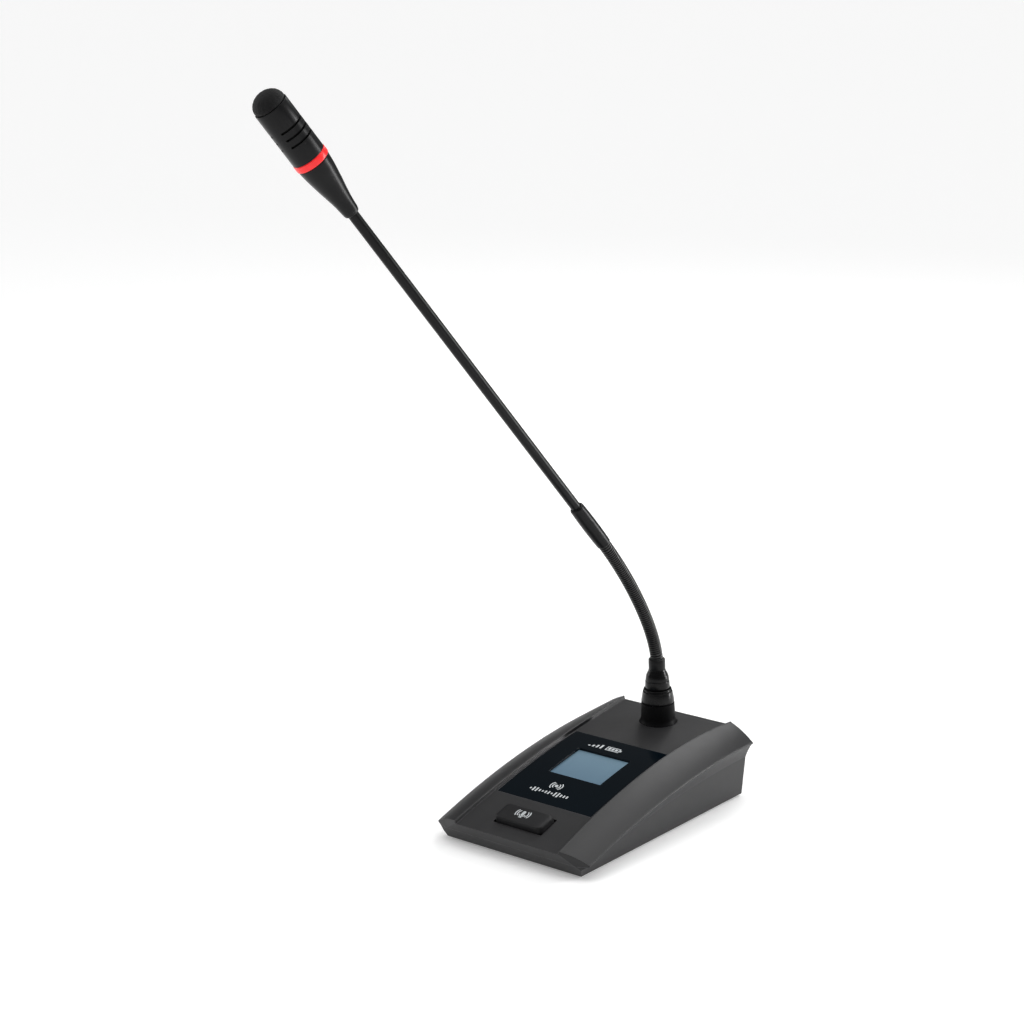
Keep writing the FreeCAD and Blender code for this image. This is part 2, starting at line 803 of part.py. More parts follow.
main_board = slab("main_board", -board_half, board_half, board_middle - board_length / 2,
                  board_middle + board_length / 2, board_height, board_thick)
drilled(main_board, board_holes, board_screw_radius + hole_gap * 3, board_height, board_thick)
radio_half = size("radio_half", 9.0)
radio_length = size("radio_length", 26.0)
radio_height = size("radio_height", 3.0)
radio_x = size("radio_x", 17.0)
slab("radio_module", radio_x - radio_half, radio_x + radio_half, board_middle - radio_length / 2,
     board_middle + radio_length / 2, board_height + board_thick, radio_height)
slab("ballast_plate", -ballast_half, ballast_half, -ballast_length / 2, ballast_length / 2,
     floor_top, ballast_thick)

tray_wall = size("tray_wall", 1.5)
tray_height = size("tray_height", 8.0)
tray_low = floor_top + ballast_thick
tray_x = cell_length / 2 + tray_wall + 0.2
tray_y = cell_radius * 2 + tray_wall + 0.4
tray = slab("battery_tray", -tray_x, tray_x, battery_middle - tray_y, battery_middle + tray_y,
            tray_low, tray_height)
inside = new_sketch(tray, "XY_Plane", tray_low + tray_wall + tray_height)
draw(inside, rectangle(-tray_x + tray_wall, tray_x - tray_wall, battery_middle - tray_y + tray_wall,
                       battery_middle + tray_y - tray_wall))
extrude(tray, inside, tray_height * 2, cut=True, both_sides=True)
cell_height = tray_low + tray_wall + cell_radius
cells = []
for step in (-1, 1):
    centre = battery_middle.value + step * (cell_radius.value + 0.1)
    start = V(-cell_length.value / 2, centre, cell_height.value)
    cells.append(Part.makeCylinder(cell_radius.value, cell_length.value, start, V(1, 0, 0)))
group("battery_cells", cells)

pad = slab("anti_slip_pad", -pad_half, pad_half, -pad_length / 2, pad_length / 2, 0, pad_proud)

inlet = slab("charge_inlet", -inlet_half, inlet_half, inlet_front, half - back_rake + 0.6,
             inlet_height - inlet_rise, inlet_rise * 2)
mouth = new_sketch(inlet, "XZ_Plane", -half + back_rake)
draw(mouth, rectangle(-inlet_half + 0.5, inlet_half - 0.5, inlet_height - inlet_rise + 0.5,
                      inlet_height + inlet_rise - 0.5))
extrude(inlet, mouth, inlet_depth, cut=True, both_sides=True)
slab("inlet_board", -inlet_half * 1.6, inlet_half * 1.6, inlet_front, inlet_front + inlet_rest,
     inlet_height - inlet_rise - inlet_board_thick, inlet_board_thick)


def screw(radius, length, head_radius, head_height):
    """A screw pointing up, with the underside of its head at the origin and a slot in the head."""
    shank = Part.makeCylinder(radius, length)
    head = Part.makeCylinder(head_radius, head_height, V(0, 0, -head_height))
    slot = Part.makeBox(head_radius * 1.4, head_radius * 0.25, head_height * 0.9,
                        V(-head_radius * 0.7, -head_radius * 0.125, -head_height * 1.4))
    cross = slot.copy()
    cross.rotate(V(0, 0, 0), V(0, 0, 1), 90)
    return shank.fuse(head).cut(slot).cut(cross).removeSplitter()


case_screw = screw(screw_radius.value, screw_seat + screw_bite.value,
                   screw_head_radius.value, screw_head_height.value)
case_screw_places = [place_post(side * x.value, y.value, post_joins[y].value - screw_seat)
                     for side, x, y in post_places]
group("case_screws", [moved(case_screw, place) for place in case_screw_places])
board_screw = screw(board_screw_radius.value, board_thick.value + board_screw_bite.value,
                    board_screw_head.value, 1.4)
board_screw.rotate(V(0, 0, 0), V(1, 0, 0), 180)
group("board_screws", [moved(board_screw, place_post(x.value, y.value, (board_height + board_thick).value))
                       for x, y in board_holes])


# ---------------------------------------------------------------- socket on the deck

collar_flare = size("collar_flare", 2.0)
insert_top = size("insert_top", 8.0)
insert_flange = size("insert_flange", 4.0)

turned("socket_collar", [
    (collar_bore, -collar_below), (collar_thread_radius, -collar_below),
    (collar_thread_radius, -seat_sink), (collar_foot_radius, -seat_sink), (collar_foot_radius, 0.3),
    (collar_radius, collar_flare), (collar_top_radius, collar_height - 0.4),
    (collar_top_radius - 0.4, collar_height), (collar_bore, collar_height)], plug_place)
nut_top = -wall - 0.5
turned("socket_locknut", tube(locknut_radius, collar_thread_radius, nut_top - locknut_thick, nut_top),
       plug_place)


def pin_spots():
    spots = []
    for angle in (-60.0, 60.0, 180.0):
        radians = math.radians(angle + 90)
        spots.append((pin_circle * math.cos(radians), pin_circle * math.sin(radians)))
    return spots


socket_insert = turned("socket_insert", [
    (0, -collar_below), (collar_bore - hole_gap, -collar_below),
    (collar_bore - hole_gap, -collar_below + insert_flange), (insert_radius, -collar_below + insert_flange),
    (insert_radius, insert_top), (0, insert_top)], plug_place)
contact_radius = pin_radius + hole_gap + contact_wall
contact_low = -collar_below + 1
contact_holes = new_sketch(socket_insert, "XY_Plane", insert_top)
for x, y in pin_spots():
    circle(contact_holes, x, y, contact_radius)
extrude(socket_insert, contact_holes, (insert_top - contact_low) * 2, cut=True, both_sides=True)
contact = Part.makeCylinder(contact_radius.value, (insert_top - contact_low).value - 0.3,
                            V(0, 0, contact_low.value))
contact = contact.cut(Part.makeCylinder((pin_radius + hole_gap).value, (insert_top - contact_low).value,
                                        V(0, 0, contact_low.value + 1)))
group("socket_contacts", [moved(contact, plug_place.multiply(place_post(x.value, y.value, 0)))
                          for x, y in pin_spots()])


# ---------------------------------------------------------------- plug and lock ring

nose_low = -collar_below + insert_flange + 0.4
nose_top = collar_height + 0.1
ring_low = collar_height + ring_clear
ring_high = ring_low + ring_height
stem_wall = size("stem_wall", 1.2)
stem_bore = thread_radius - stem_wall
thread_length = size("thread_length", 4.0)
nose_floor = size("nose_floor", 1.6)
plug_insert_thick = size("plug_insert_thick", 3.1)

turned("plug_shell", [
    (nose_inner, nose_low), (nose_radius, nose_low), (nose_radius, nose_top), (stem_radius, nose_top),
    (stem_radius, ring_high), (thread_radius, ring_high), (thread_radius, ring_high + thread_length),
    (stem_bore, ring_high + thread_length), (stem_bore, nose_top - nose_floor),
    (nose_inner, nose_top - nose_floor)], plug_place)
ring_bore = stem_radius + slide_gap / 2
groove = size("ring_groove", 0.5)
turned("lock_ring", [
    (ring_bore, ring_low), (ring_bottom_radius - 0.4, ring_low), (ring_bottom_radius, ring_low + 0.4),
    (ring_top_radius + 0.2, ring_high - 1.5), (ring_top_radius - groove, ring_high - 1.3),
    (ring_top_radius - groove, ring_high - 0.8), (ring_top_radius, ring_high - 0.6),
    (ring_top_radius - 0.3, ring_high - 0.1), (ring_bore, ring_high - 0.1)], plug_place)
bell_low = ring_high + 0.1
bell_top = ring_high + shell_height
shoulder_step = size("shoulder_step", 0.5)
shoulder_radius = shell_radius - shoulder_step
shoulder_rise = size("shoulder_rise", 7.3)
turned("plug_bell", [
    (thread_radius, bell_low), (shell_radius - 0.3, bell_low), (shell_radius, bell_low + 0.3),
    (shell_radius - 0.2, ring_high + shell_straight), (shoulder_radius, ring_high + shoulder_rise),
    ("arc", shoulder_radius - 0.8, ring_high + shoulder_rise + 2.4), (ferrule_radius, bell_top),
    (neck_bore, bell_top), (neck_bore, ring_high + thread_length),
    (thread_radius, ring_high + thread_length)], plug_place)
insert_high = nose_top - nose_floor
plug_insert = turned("plug_insert", [
    (0, insert_high - plug_insert_thick), (nose_inner, insert_high - plug_insert_thick),
    (nose_inner, insert_high), (0, insert_high)], plug_place)
pin_holes = new_sketch(plug_insert, "XY_Plane", insert_high)
for x, y in pin_spots():
    circle(pin_holes, x, y, pin_radius)
extrude(plug_insert, pin_holes, plug_insert_thick * 4, cut=True, both_sides=True)
pin_low = (insert_high - plug_insert_thick - pin_length).value
pin = Part.makeCylinder(pin_radius.value, insert_high.value - pin_low, V(0, 0, pin_low))
group("plug_pins", [moved(pin, plug_place.multiply(place_post(x.value, y.value, 0)))
                    for x, y in pin_spots()])
turned("neck_ferrule", [
    (neck_bore, bell_top), (ferrule_radius, bell_top), (ferrule_radius, bell_top + ferrule_height - 0.5),
    (ferrule_radius - 0.5, bell_top + ferrule_height), (neck_bore, bell_top + ferrule_height)], plug_place)


# ---------------------------------------------------------------- flexible neck

def make_neck_link(index):
    length = neck_length / link_count - neck_gap
    low = neck_gap / 2
    ribs = max(2, round(length.value / rib_pitch.value))
    pitch = length / ribs
    outline = [(neck_bore, low)]
    for rib in range(ribs):
        base = low + pitch * rib
        outline += [(neck_radius - rib_depth, base), (neck_radius, base + pitch * 0.35),
                    (neck_radius, base + pitch * 0.65)]
    outline += [(neck_radius - rib_depth, low + length), (neck_bore, low + length)]
    turned("neck_link_%02d" % (index + 1), outline, bends[index])


for index in range(link_count):
    make_neck_link(index)


# ---------------------------------------------------------------- boom

joint_depth = size("joint_depth", 16.0)
turned("coupling_sleeve", [
    (neck_bore, neck_gap / 2), (sleeve_end_radius - 0.5, neck_gap / 2),
    (sleeve_end_radius, neck_gap / 2 + 0.5),
    ("arc", sleeve_mid_radius, sleeve_length / 2), (sleeve_end_radius, sleeve_length - 0.5),
    (sleeve_end_radius - 0.5, sleeve_length), (tube_radius, sleeve_length), (tube_radius, joint_depth),
    (neck_bore, joint_depth)], boom_place)
cone_hold = size("cone_hold", 6.0)
turned("boom_tube", tube(tube_radius, tube_radius - tube_wall, joint_depth, cone_start + cone_hold),
       boom_place)


# ---------------------------------------------------------------- head

cone_low = cone_start + size("cone_low_rise", 5.9)
cone_mid = cone_start + size("cone_mid_rise", 15.8)
cone_high = cone_start + size("cone_high_rise", 26.0)
cone_low_radius = cone_start_radius + size("cone_low_swell", 0.46)
cone_mid_radius = head_radius - size("cone_mid_step", 3.22)
cone_high_radius = head_radius - size("cone_high_step", 1.41)
cone_top_radius = head_radius - size("cone_top_step", 0.13)
turned("head_cone", [
    (tube_radius, cone_start), (cone_start_radius - 0.6, cone_start), (cone_start_radius, cone_start + 0.6),
    ("arc", cone_low_radius, cone_low), (cone_mid_radius, cone_mid),
    ("arc", cone_high_radius, cone_high), (cone_top_radius, ring_start),
    (cone_top_radius - head_wall, ring_start), (cone_mid_radius - head_wall, cone_mid),
    (tube_radius, cone_start + cone_hold)], boom_place)
barrel_start = ring_start + glow_length
barrel_end = barrel_start + barrel_length
barrel_bore = head_radius - head_wall
glow_radius = head_radius + glow_proud
glow_edge = size("glow_edge", 0.4)
turned("light_ring", [
    (barrel_bore, ring_start), (glow_radius - glow_edge, ring_start), (glow_radius, ring_start + glow_edge),
    (glow_radius, barrel_start - glow_edge), (glow_radius - glow_edge, barrel_start),
    (barrel_bore, barrel_start)], boom_place)
board_ring = size("board_ring", 3.4)
turned("light_board", tube(barrel_bore - 0.05, barrel_bore - board_ring, ring_start + 1, ring_start + 2.2),
       boom_place)

slot_turn = size("slot_turn", 207.1)
slot_spin = FreeCAD.Placement(V(0, 0, 0), FreeCAD.Rotation(V(0, 0, 1), slot_turn.value))


def make_head_barrel():
    body = new_body("head_barrel")
    sketch = new_sketch(body, "XZ_Plane")
    draw(sketch, tube(head_radius, barrel_bore, barrel_start, barrel_end))
    turn(body, sketch)
    for row in range(3):
        middle = barrel_start + slot_first + slot_pitch * row
        for side in (1, -1):
            slot = new_sketch(body, "XZ_Plane")
            draw(slot, rectangle(side * (barrel_bore - 0.5), side * (head_radius + 0.5),
                                 middle - slot_width / 2, middle + slot_width / 2))
            cut = turn(body, slot, cut=True)
            bind(cut, "Angle", slot_arc)
            cut.Midplane = True
    body.Placement = boom_place.multiply(slot_spin)


make_head_barrel()
holder_top = size("holder_top", 27.0)
holder_thick = size("holder_thick", 5.0)
holder_end = barrel_start + holder_top
turned("capsule_holder", tube(barrel_bore - hole_gap, capsule_radius, holder_end - holder_thick, holder_end),
       boom_place)
turned("capsule", [
    (0, holder_end - capsule_length), (capsule_radius, holder_end - capsule_length),
    (capsule_radius, holder_end), (0, holder_end)], boom_place)
foam_radius = head_radius - 0.35
foam_core = barrel_bore - foam_gap
foam_foot = barrel_end - foam_depth + 1
turned("foam_windscreen", [
    (0, foam_foot), (foam_core, foam_foot), (foam_core, barrel_end + 0.1),
    (foam_radius, barrel_end + 0.1), ("arc", foam_radius * 0.7071, barrel_end + foam_dome * 0.7071),
    (foam_crown, barrel_end + foam_dome), (0, barrel_end + foam_dome)], boom_place)


# ---------------------------------------------------------------- check and write

doc.recompute()
os.makedirs("parts", exist_ok=True)
sub_parts = [obj for obj in doc.Objects if obj.TypeId in ("PartDesign::Body", "Part::Feature")]
for obj in doc.Objects:
    if "Invalid" in obj.State or "Error" in obj.State:
        raise RuntimeError("failed feature: %s in %s" % (obj.Name, [o.Label for o in obj.InList]))
for obj in sub_parts:
    if obj.Shape.isNull() or not obj.Shape.isValid():
        raise RuntimeError("bad shape: " + obj.Label)
for obj in sub_parts:
    obj.Shape.exportStep("parts/%s.step" % obj.Label)
    print(obj.Label, len(obj.Shape.Solids), round(obj.Shape.Volume))
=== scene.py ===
import json
import math

import bpy
from mathutils import Matrix, Vector


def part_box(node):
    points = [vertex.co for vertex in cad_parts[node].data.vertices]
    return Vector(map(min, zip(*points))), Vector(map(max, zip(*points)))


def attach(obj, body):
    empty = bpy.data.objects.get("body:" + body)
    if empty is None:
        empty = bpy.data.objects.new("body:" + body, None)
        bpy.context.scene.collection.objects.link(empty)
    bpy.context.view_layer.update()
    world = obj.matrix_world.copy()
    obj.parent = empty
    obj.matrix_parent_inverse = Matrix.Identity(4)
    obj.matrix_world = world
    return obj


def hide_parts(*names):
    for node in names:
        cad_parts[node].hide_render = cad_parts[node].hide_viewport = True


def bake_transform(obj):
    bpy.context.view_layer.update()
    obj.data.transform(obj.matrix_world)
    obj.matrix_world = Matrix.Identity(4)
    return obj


# A gooseneck desk microphone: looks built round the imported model. Metres throughout.

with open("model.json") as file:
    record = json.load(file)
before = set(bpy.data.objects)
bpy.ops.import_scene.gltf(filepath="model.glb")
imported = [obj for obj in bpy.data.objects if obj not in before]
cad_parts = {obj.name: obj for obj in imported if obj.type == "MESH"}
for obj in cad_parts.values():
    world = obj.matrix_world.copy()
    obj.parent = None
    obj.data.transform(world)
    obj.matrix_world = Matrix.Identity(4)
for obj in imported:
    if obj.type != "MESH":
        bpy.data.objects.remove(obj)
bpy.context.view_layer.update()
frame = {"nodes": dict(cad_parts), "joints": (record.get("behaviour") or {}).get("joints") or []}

MM = 0.001
NECK_LINKS = 11
NECK_BENDS = 6
LEAD_BORE = 2.0 * MM            # passage for the microphone lead through the neck's end pieces
SOCKET_BORE = 9.55 * MM
link_names = ["neck_link_%02d" % number for number in range(1, NECK_LINKS + 1)]
nodes = frame["nodes"]
joints = {joint["name"]: joint for joint in frame["joints"]}


# ------------------------------------------------------------------ places read from the frame

def centre(node):
    low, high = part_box(node)
    return (low + high) / 2


def upright(axis, origin, facing):
    """A frame at a point whose +Z runs along an axis and whose +X faces a direction as nearly as it can."""
    up = Vector(axis).normalized()
    side = (Vector(facing) - up * up.dot(Vector(facing))).normalized()
    across = up.cross(side)
    turn = Matrix((side, across, up)).transposed().to_4x4()
    return Matrix.Translation(Vector(origin)) @ turn


def span(node, place):
    """Lowest and highest point of a node along a frame's +Z, and its largest radius there."""
    back = place.inverted()
    points = [back @ v.co for v in nodes[node].data.vertices]
    heights = [p.z for p in points]
    return min(heights), max(heights), max(math.hypot(p.x, p.y) for p in points)


FACING = Vector((0.5964, -0.7656, 0.2410))      # from the object towards the camera
plug_axis = Vector(joints["plug_pull"]["axis"])
plug_place = upright(plug_axis, joints["lock_ring_turn"]["pos_m"], FACING)
boom_foot = Vector(joints["neck_bend_%d" % NECK_BENDS]["pos_m"])
boom_axis = (centre("light_ring") - centre("boom_tube")).normalized()
boom_place = upright(boom_axis, boom_foot, FACING)


# ------------------------------------------------------------------ camera, light and stage

WORLD_LIGHT = 0.12
BACKDROP_TONE = (0.93, 0.93, 0.93)
FLOOR_SIZE = 600
FLOOR_DROP = 0.02 * MM          # just under the pad, so the two faces don't flicker
FLOOR_GLOW = 0.25


def make_camera():
    camera = bpy.data.objects.new("camera", bpy.data.cameras.new("camera"))
    bpy.context.scene.collection.objects.link(camera)
    camera.data.sensor_width = 36.0
    camera.data.lens = 75.6
    camera.data.clip_end = 1000.0
    camera.location = (0.70818, -0.99046, 0.49164)
    camera.rotation_euler = FACING.to_track_quat("Z", "Y").to_euler()
    bpy.context.scene.camera = camera


def soft_light(name, place, aim, width, height, watts):
    """A rectangular lamp that faces a point."""
    lamp = bpy.data.lights.new(name, "AREA")
    lamp.shape = "RECTANGLE"
    lamp.size = width
    lamp.size_y = height
    lamp.energy = watts
    holder = bpy.data.objects.new(name, lamp)
    bpy.context.scene.collection.objects.link(holder)
    holder.location = place
    holder.rotation_euler = (Vector(place) - Vector(aim)).to_track_quat("Z", "Y").to_euler()


def wide_sun(name, direction, strength, spread_degrees):
    """Even light from one side, soft because its source is wide."""
    lamp = bpy.data.lights.new(name, "SUN")
    lamp.energy = strength
    lamp.angle = math.radians(spread_degrees)
    holder = bpy.data.objects.new(name, lamp)
    bpy.context.scene.collection.objects.link(holder)
    holder.rotation_euler = Vector(direction).to_track_quat("Z", "Y").to_euler()


def dim_world_with_white_backdrop(tree):
    """Dim even light on the object, and plain white where the view passes the floor's far edge."""
    light = tree.nodes["Background"]
    light.inputs["Color"].default_value = (1, 1, 1, 1)
    light.inputs["Strength"].default_value = WORLD_LIGHT
    backdrop = tree.nodes.new("ShaderNodeBackground")
    backdrop.inputs["Color"].default_value = (*BACKDROP_TONE, 1)
    path = tree.nodes.new("ShaderNodeLightPath")
    mix = tree.nodes.new("ShaderNodeMixShader")
    tree.links.new(path.outputs["Is Camera Ray"], mix.inputs["Fac"])
    tree.links.new(light.outputs["Background"], mix.inputs[1])
    tree.links.new(backdrop.outputs["Background"], mix.inputs[2])
    tree.links.new(mix.outputs["Shader"], tree.nodes["World Output"].inputs["Surface"])


def make_stage():
    bpy.ops.mesh.primitive_plane_add(size=FLOOR_SIZE, location=(0, 0, -FLOOR_DROP))
    floor = bpy.context.object
    floor.name = "floor"
    material, tree, links = new_material("floor_paper")
    shader = tree["Principled BSDF"]
    grain = noise(tree, links, 90.0, 3.0)
    links.new(ramp(tree, links, grain, (0.84, 0.84, 0.84), (0.87, 0.87, 0.87)), shader.inputs["Base Color"])
    shader.inputs["Roughness"].default_value = 0.9
    shader.inputs["Specular IOR Level"].default_value = 0.1
    shader.inputs["Emission Color"].default_value = (1, 1, 1, 1)
    shader.inputs["Emission Strength"].default_value = FLOOR_GLOW
    floor.data.materials.append(material)
    world = bpy.data.worlds.new("studio")
    bpy.context.scene.world = world
    world.use_nodes = True
    dim_world_with_white_backdrop(world.node_tree)
    wide_sun("sun_overhead", (0.05, 0.10, 1.0), 1.7, 60)
    wide_sun("sun_from_front_left", (-0.45, -0.55, 0.75), 0.55, 40)
    wide_sun("sun_from_right", (0.81, 0.26, 0.65), 0.22, 30)
    soft_light("box_behind", (-0.35, 1.5, 1.45), (0, 0, 0.03), 0.9, 0.4, 10)
    soft_light("strip_on_right", (0.95, 1.02, 0.35), (0, 0, 0.25), 0.09, 1.0, 15)
    soft_light("strip_on_left", (-1.5, -0.3, 0.5), (0, 0, 0.2), 0.15, 0.9, 4)
    bpy.context.scene.view_settings.view_transform = "Standard"


# ------------------------------------------------------------------ finishes

def new_material(name):
    material = bpy.data.materials.new(name)
    material.use_nodes = True
    return material, material.node_tree.nodes, material.node_tree.links


def noise(tree, links, scale, detail=3.0, roughness=0.5, stretch=None):
    coords = tree.new("ShaderNodeTexCoord")
    texture = tree.new("ShaderNodeTexNoise")
    texture.inputs["Scale"].default_value = scale
    texture.inputs["Detail"].default_value = detail
    texture.inputs["Roughness"].default_value = roughness
    source = coords.outputs["Object"]
    if stretch is not None:
        mapping = tree.new("ShaderNodeMapping")
        mapping.inputs["Scale"].default_value = stretch
        links.new(source, mapping.inputs["Vector"])
        source = mapping.outputs["Vector"]
    links.new(source, texture.inputs["Vector"])
    return texture.outputs["Fac"]


def ramp(tree, links, value, dark, light, low=0.3, high=0.7):
    band = tree.new("ShaderNodeValToRGB")
    band.color_ramp.elements[0].position = low
    band.color_ramp.elements[1].position = high
    band.color_ramp.elements[0].color = (*dark, 1)
    band.color_ramp.elements[1].color = (*light, 1)
    links.new(value, band.inputs["Fac"])
    return band.outputs["Color"]


def spread(tree, links, value, low, high):
    scale = tree.new("ShaderNodeMapRange")
    scale.inputs["To Min"].default_value = low
    scale.inputs["To Max"].default_value = high
    links.new(value, scale.inputs["Value"])
    return scale.outputs["Result"]


def painted_edge_highlight(tree, links, rounding, tones, edge_highlight_tone):
    """A paler tone where a rounded edge leans away from its flat faces: a painted highlight along the edges.
    """
    geometry = tree.new("ShaderNodeNewGeometry")
    lean = tree.new("ShaderNodeVectorMath")
    lean.operation = "DOT_PRODUCT"
    links.new(rounding.outputs["Normal"], lean.inputs[0])
    links.new(geometry.outputs["Normal"], lean.inputs[1])
    amount = tree.new("ShaderNodeMapRange")
    amount.inputs["From Min"].default_value = 0.995
    amount.inputs["From Max"].default_value = 0.93
    links.new(lean.outputs["Value"], amount.inputs["Value"])
    mix = tree.new("ShaderNodeMix")
    mix.data_type = "RGBA"
    links.new(amount.outputs["Result"], mix.inputs["Factor"])
    links.new(tones, mix.inputs["A"])
    mix.inputs["B"].default_value = (*edge_highlight_tone, 1)
    return mix.outputs["Result"]


FINE_GRAIN = 6.0                # how much finer the relief is than the patches of gloss


def surface(name, dark, light, rough_low, rough_high, grain=400.0, bump=0.05, bump_height=0.00005,
            metallic=0.0, specular=0.5, edge=0.0, stretch=None, edge_highlight_tone=None):
    """Moulded, painted or metal finish: two tones in slow drift, uneven gloss and a fine grain."""
    material, tree, links = new_material(name)
    shader = tree["Principled BSDF"]
    drift = noise(tree, links, grain / 12, 4.0)
    tones = ramp(tree, links, drift, dark, light)
    links.new(tones, shader.inputs["Base Color"])
    patch = noise(tree, links, grain / 3, 3.0, stretch=stretch)
    links.new(spread(tree, links, patch, rough_low, rough_high), shader.inputs["Roughness"])
    shader.inputs["Metallic"].default_value = metallic
    shader.inputs["Specular IOR Level"].default_value = specular
    relief = tree.new("ShaderNodeBump")
    relief.inputs["Strength"].default_value = bump
    relief.inputs["Distance"].default_value = bump_height
    links.new(noise(tree, links, grain * FINE_GRAIN, 2.0, stretch=stretch), relief.inputs["Height"])
    if edge > 0:
        rounding = tree.new("ShaderNodeBevel")
        rounding.samples = 6
        rounding.inputs["Radius"].default_value = edge
        links.new(rounding.outputs["Normal"], relief.inputs["Normal"])
        # Rounded edges get a paler tone here: a painted highlight along the edges.
        if edge_highlight_tone is not None:
            links.new(painted_edge_highlight(tree, links, rounding, tones, edge_highlight_tone), shader.inputs["Base Color"])
    links.new(relief.outputs["Normal"], shader.inputs["Normal"])
    return material


def casing_finish():
    # The paler edge tone is a painted highlight along the crest, crease and lip.
    return surface("casing_plastic", (0.0165, 0.0165, 0.0175), (0.0205, 0.0205, 0.0215), 0.38, 0.48,
                   grain=500.0, bump=0.25, bump_height=0.00003, specular=0.34, edge=0.0005,
                   edge_highlight_tone=(0.055, 0.055, 0.058))


def foam_finish():
    material, tree, links = new_material("acoustic_foam")
    shader = tree["Principled BSDF"]
    coords = tree.new("ShaderNodeTexCoord")
    cells = tree.new("ShaderNodeTexVoronoi")
    cells.inputs["Scale"].default_value = 2600.0
    links.new(coords.outputs["Object"], cells.inputs["Vector"])
    # Darker at the cells' middles, where the bump below sinks into pits: painted shade in the pits.
    tone = ramp(tree, links, cells.outputs["Distance"], (0.003, 0.003, 0.003), (0.013, 0.013, 0.0135),
                0.1, 0.6)
    links.new(tone, shader.inputs["Base Color"])
    links.new(spread(tree, links, noise(tree, links, 300.0), 0.85, 1.0), shader.inputs["Roughness"])
    shader.inputs["Specular IOR Level"].default_value = 0.15
    shader.inputs["Sheen Weight"].default_value = 0.08
    shader.inputs["Sheen Roughness"].default_value = 0.6
    relief = tree.new("ShaderNodeBump")
    relief.inputs["Strength"].default_value = 0.8
    relief.inputs["Distance"].default_value = 0.0002
    links.new(cells.outputs["Distance"], relief.inputs["Height"])
    links.new(relief.outputs["Normal"], shader.inputs["Normal"])
    return material


def glowing_finish(name, dark, light, strength, scale=260.0, roughness=0.3):
    """A lit plastic: glow with a slow drift in tone, under a glossy skin."""
    material, tree, links = new_material(name)
    shader = tree["Principled BSDF"]
    tone = ramp(tree, links, noise(tree, links, scale, 2.0), dark, light)
    links.new(tone, shader.inputs["Base Color"])
    links.new(tone, shader.inputs["Emission Color"])
    shader.inputs["Emission Strength"].default_value = strength
    links.new(spread(tree, links, noise(tree, links, scale * 2), roughness * 0.8, roughness * 1.2),
              shader.inputs["Roughness"])
    return material


def display_finish():
    """Liquid crystal seen under film: a fine grid of dots and a soft slope in brightness."""
    material, tree, links = new_material("display_glass")
    shader = tree["Principled BSDF"]
    coords = tree.new("ShaderNodeTexCoord")
    split = tree.new("ShaderNodeSeparateXYZ")
    links.new(coords.outputs["Object"], split.inputs["Vector"])
    slope = tree.new("ShaderNodeMapRange")
    slope.inputs["From Min"].default_value = -0.022
    slope.inputs["From Max"].default_value = 0.012
    links.new(split.outputs["Y"], slope.inputs["Value"])
    tone = ramp(tree, links, slope.outputs["Result"], (0.095, 0.160, 0.220), (0.135, 0.215, 0.275), 0.0, 1.0)
    dots = tree.new("ShaderNodeTexBrick")
    dots.offset = 0.0
    dots.inputs["Scale"].default_value = 1.0
    dots.inputs["Brick Width"].default_value = 0.0005
    dots.inputs["Row Height"].default_value = 0.0005
    dots.inputs["Mortar Size"].default_value = 0.00003
    dots.inputs["Color1"].default_value = (1, 1, 1, 1)
    dots.inputs["Color2"].default_value = (0.97, 0.97, 0.97, 1)
    dots.inputs["Mortar"].default_value = (0.86, 0.86, 0.86, 1)
    links.new(coords.outputs["Object"], dots.inputs["Vector"])
    mix = tree.new("ShaderNodeMix")
    mix.data_type = "RGBA"
    mix.blend_type = "MULTIPLY"
    mix.inputs["Factor"].default_value = 1.0
    links.new(tone, mix.inputs["A"])
    links.new(dots.outputs["Color"], mix.inputs["B"])
    links.new(mix.outputs["Result"], shader.inputs["Base Color"])
    links.new(mix.outputs["Result"], shader.inputs["Emission Color"])
    shader.inputs["Emission Strength"].default_value = 0.25
    links.new(spread(tree, links, noise(tree, links, 300.0), 0.2, 0.28), shader.inputs["Roughness"])
    return material


finishes = {}


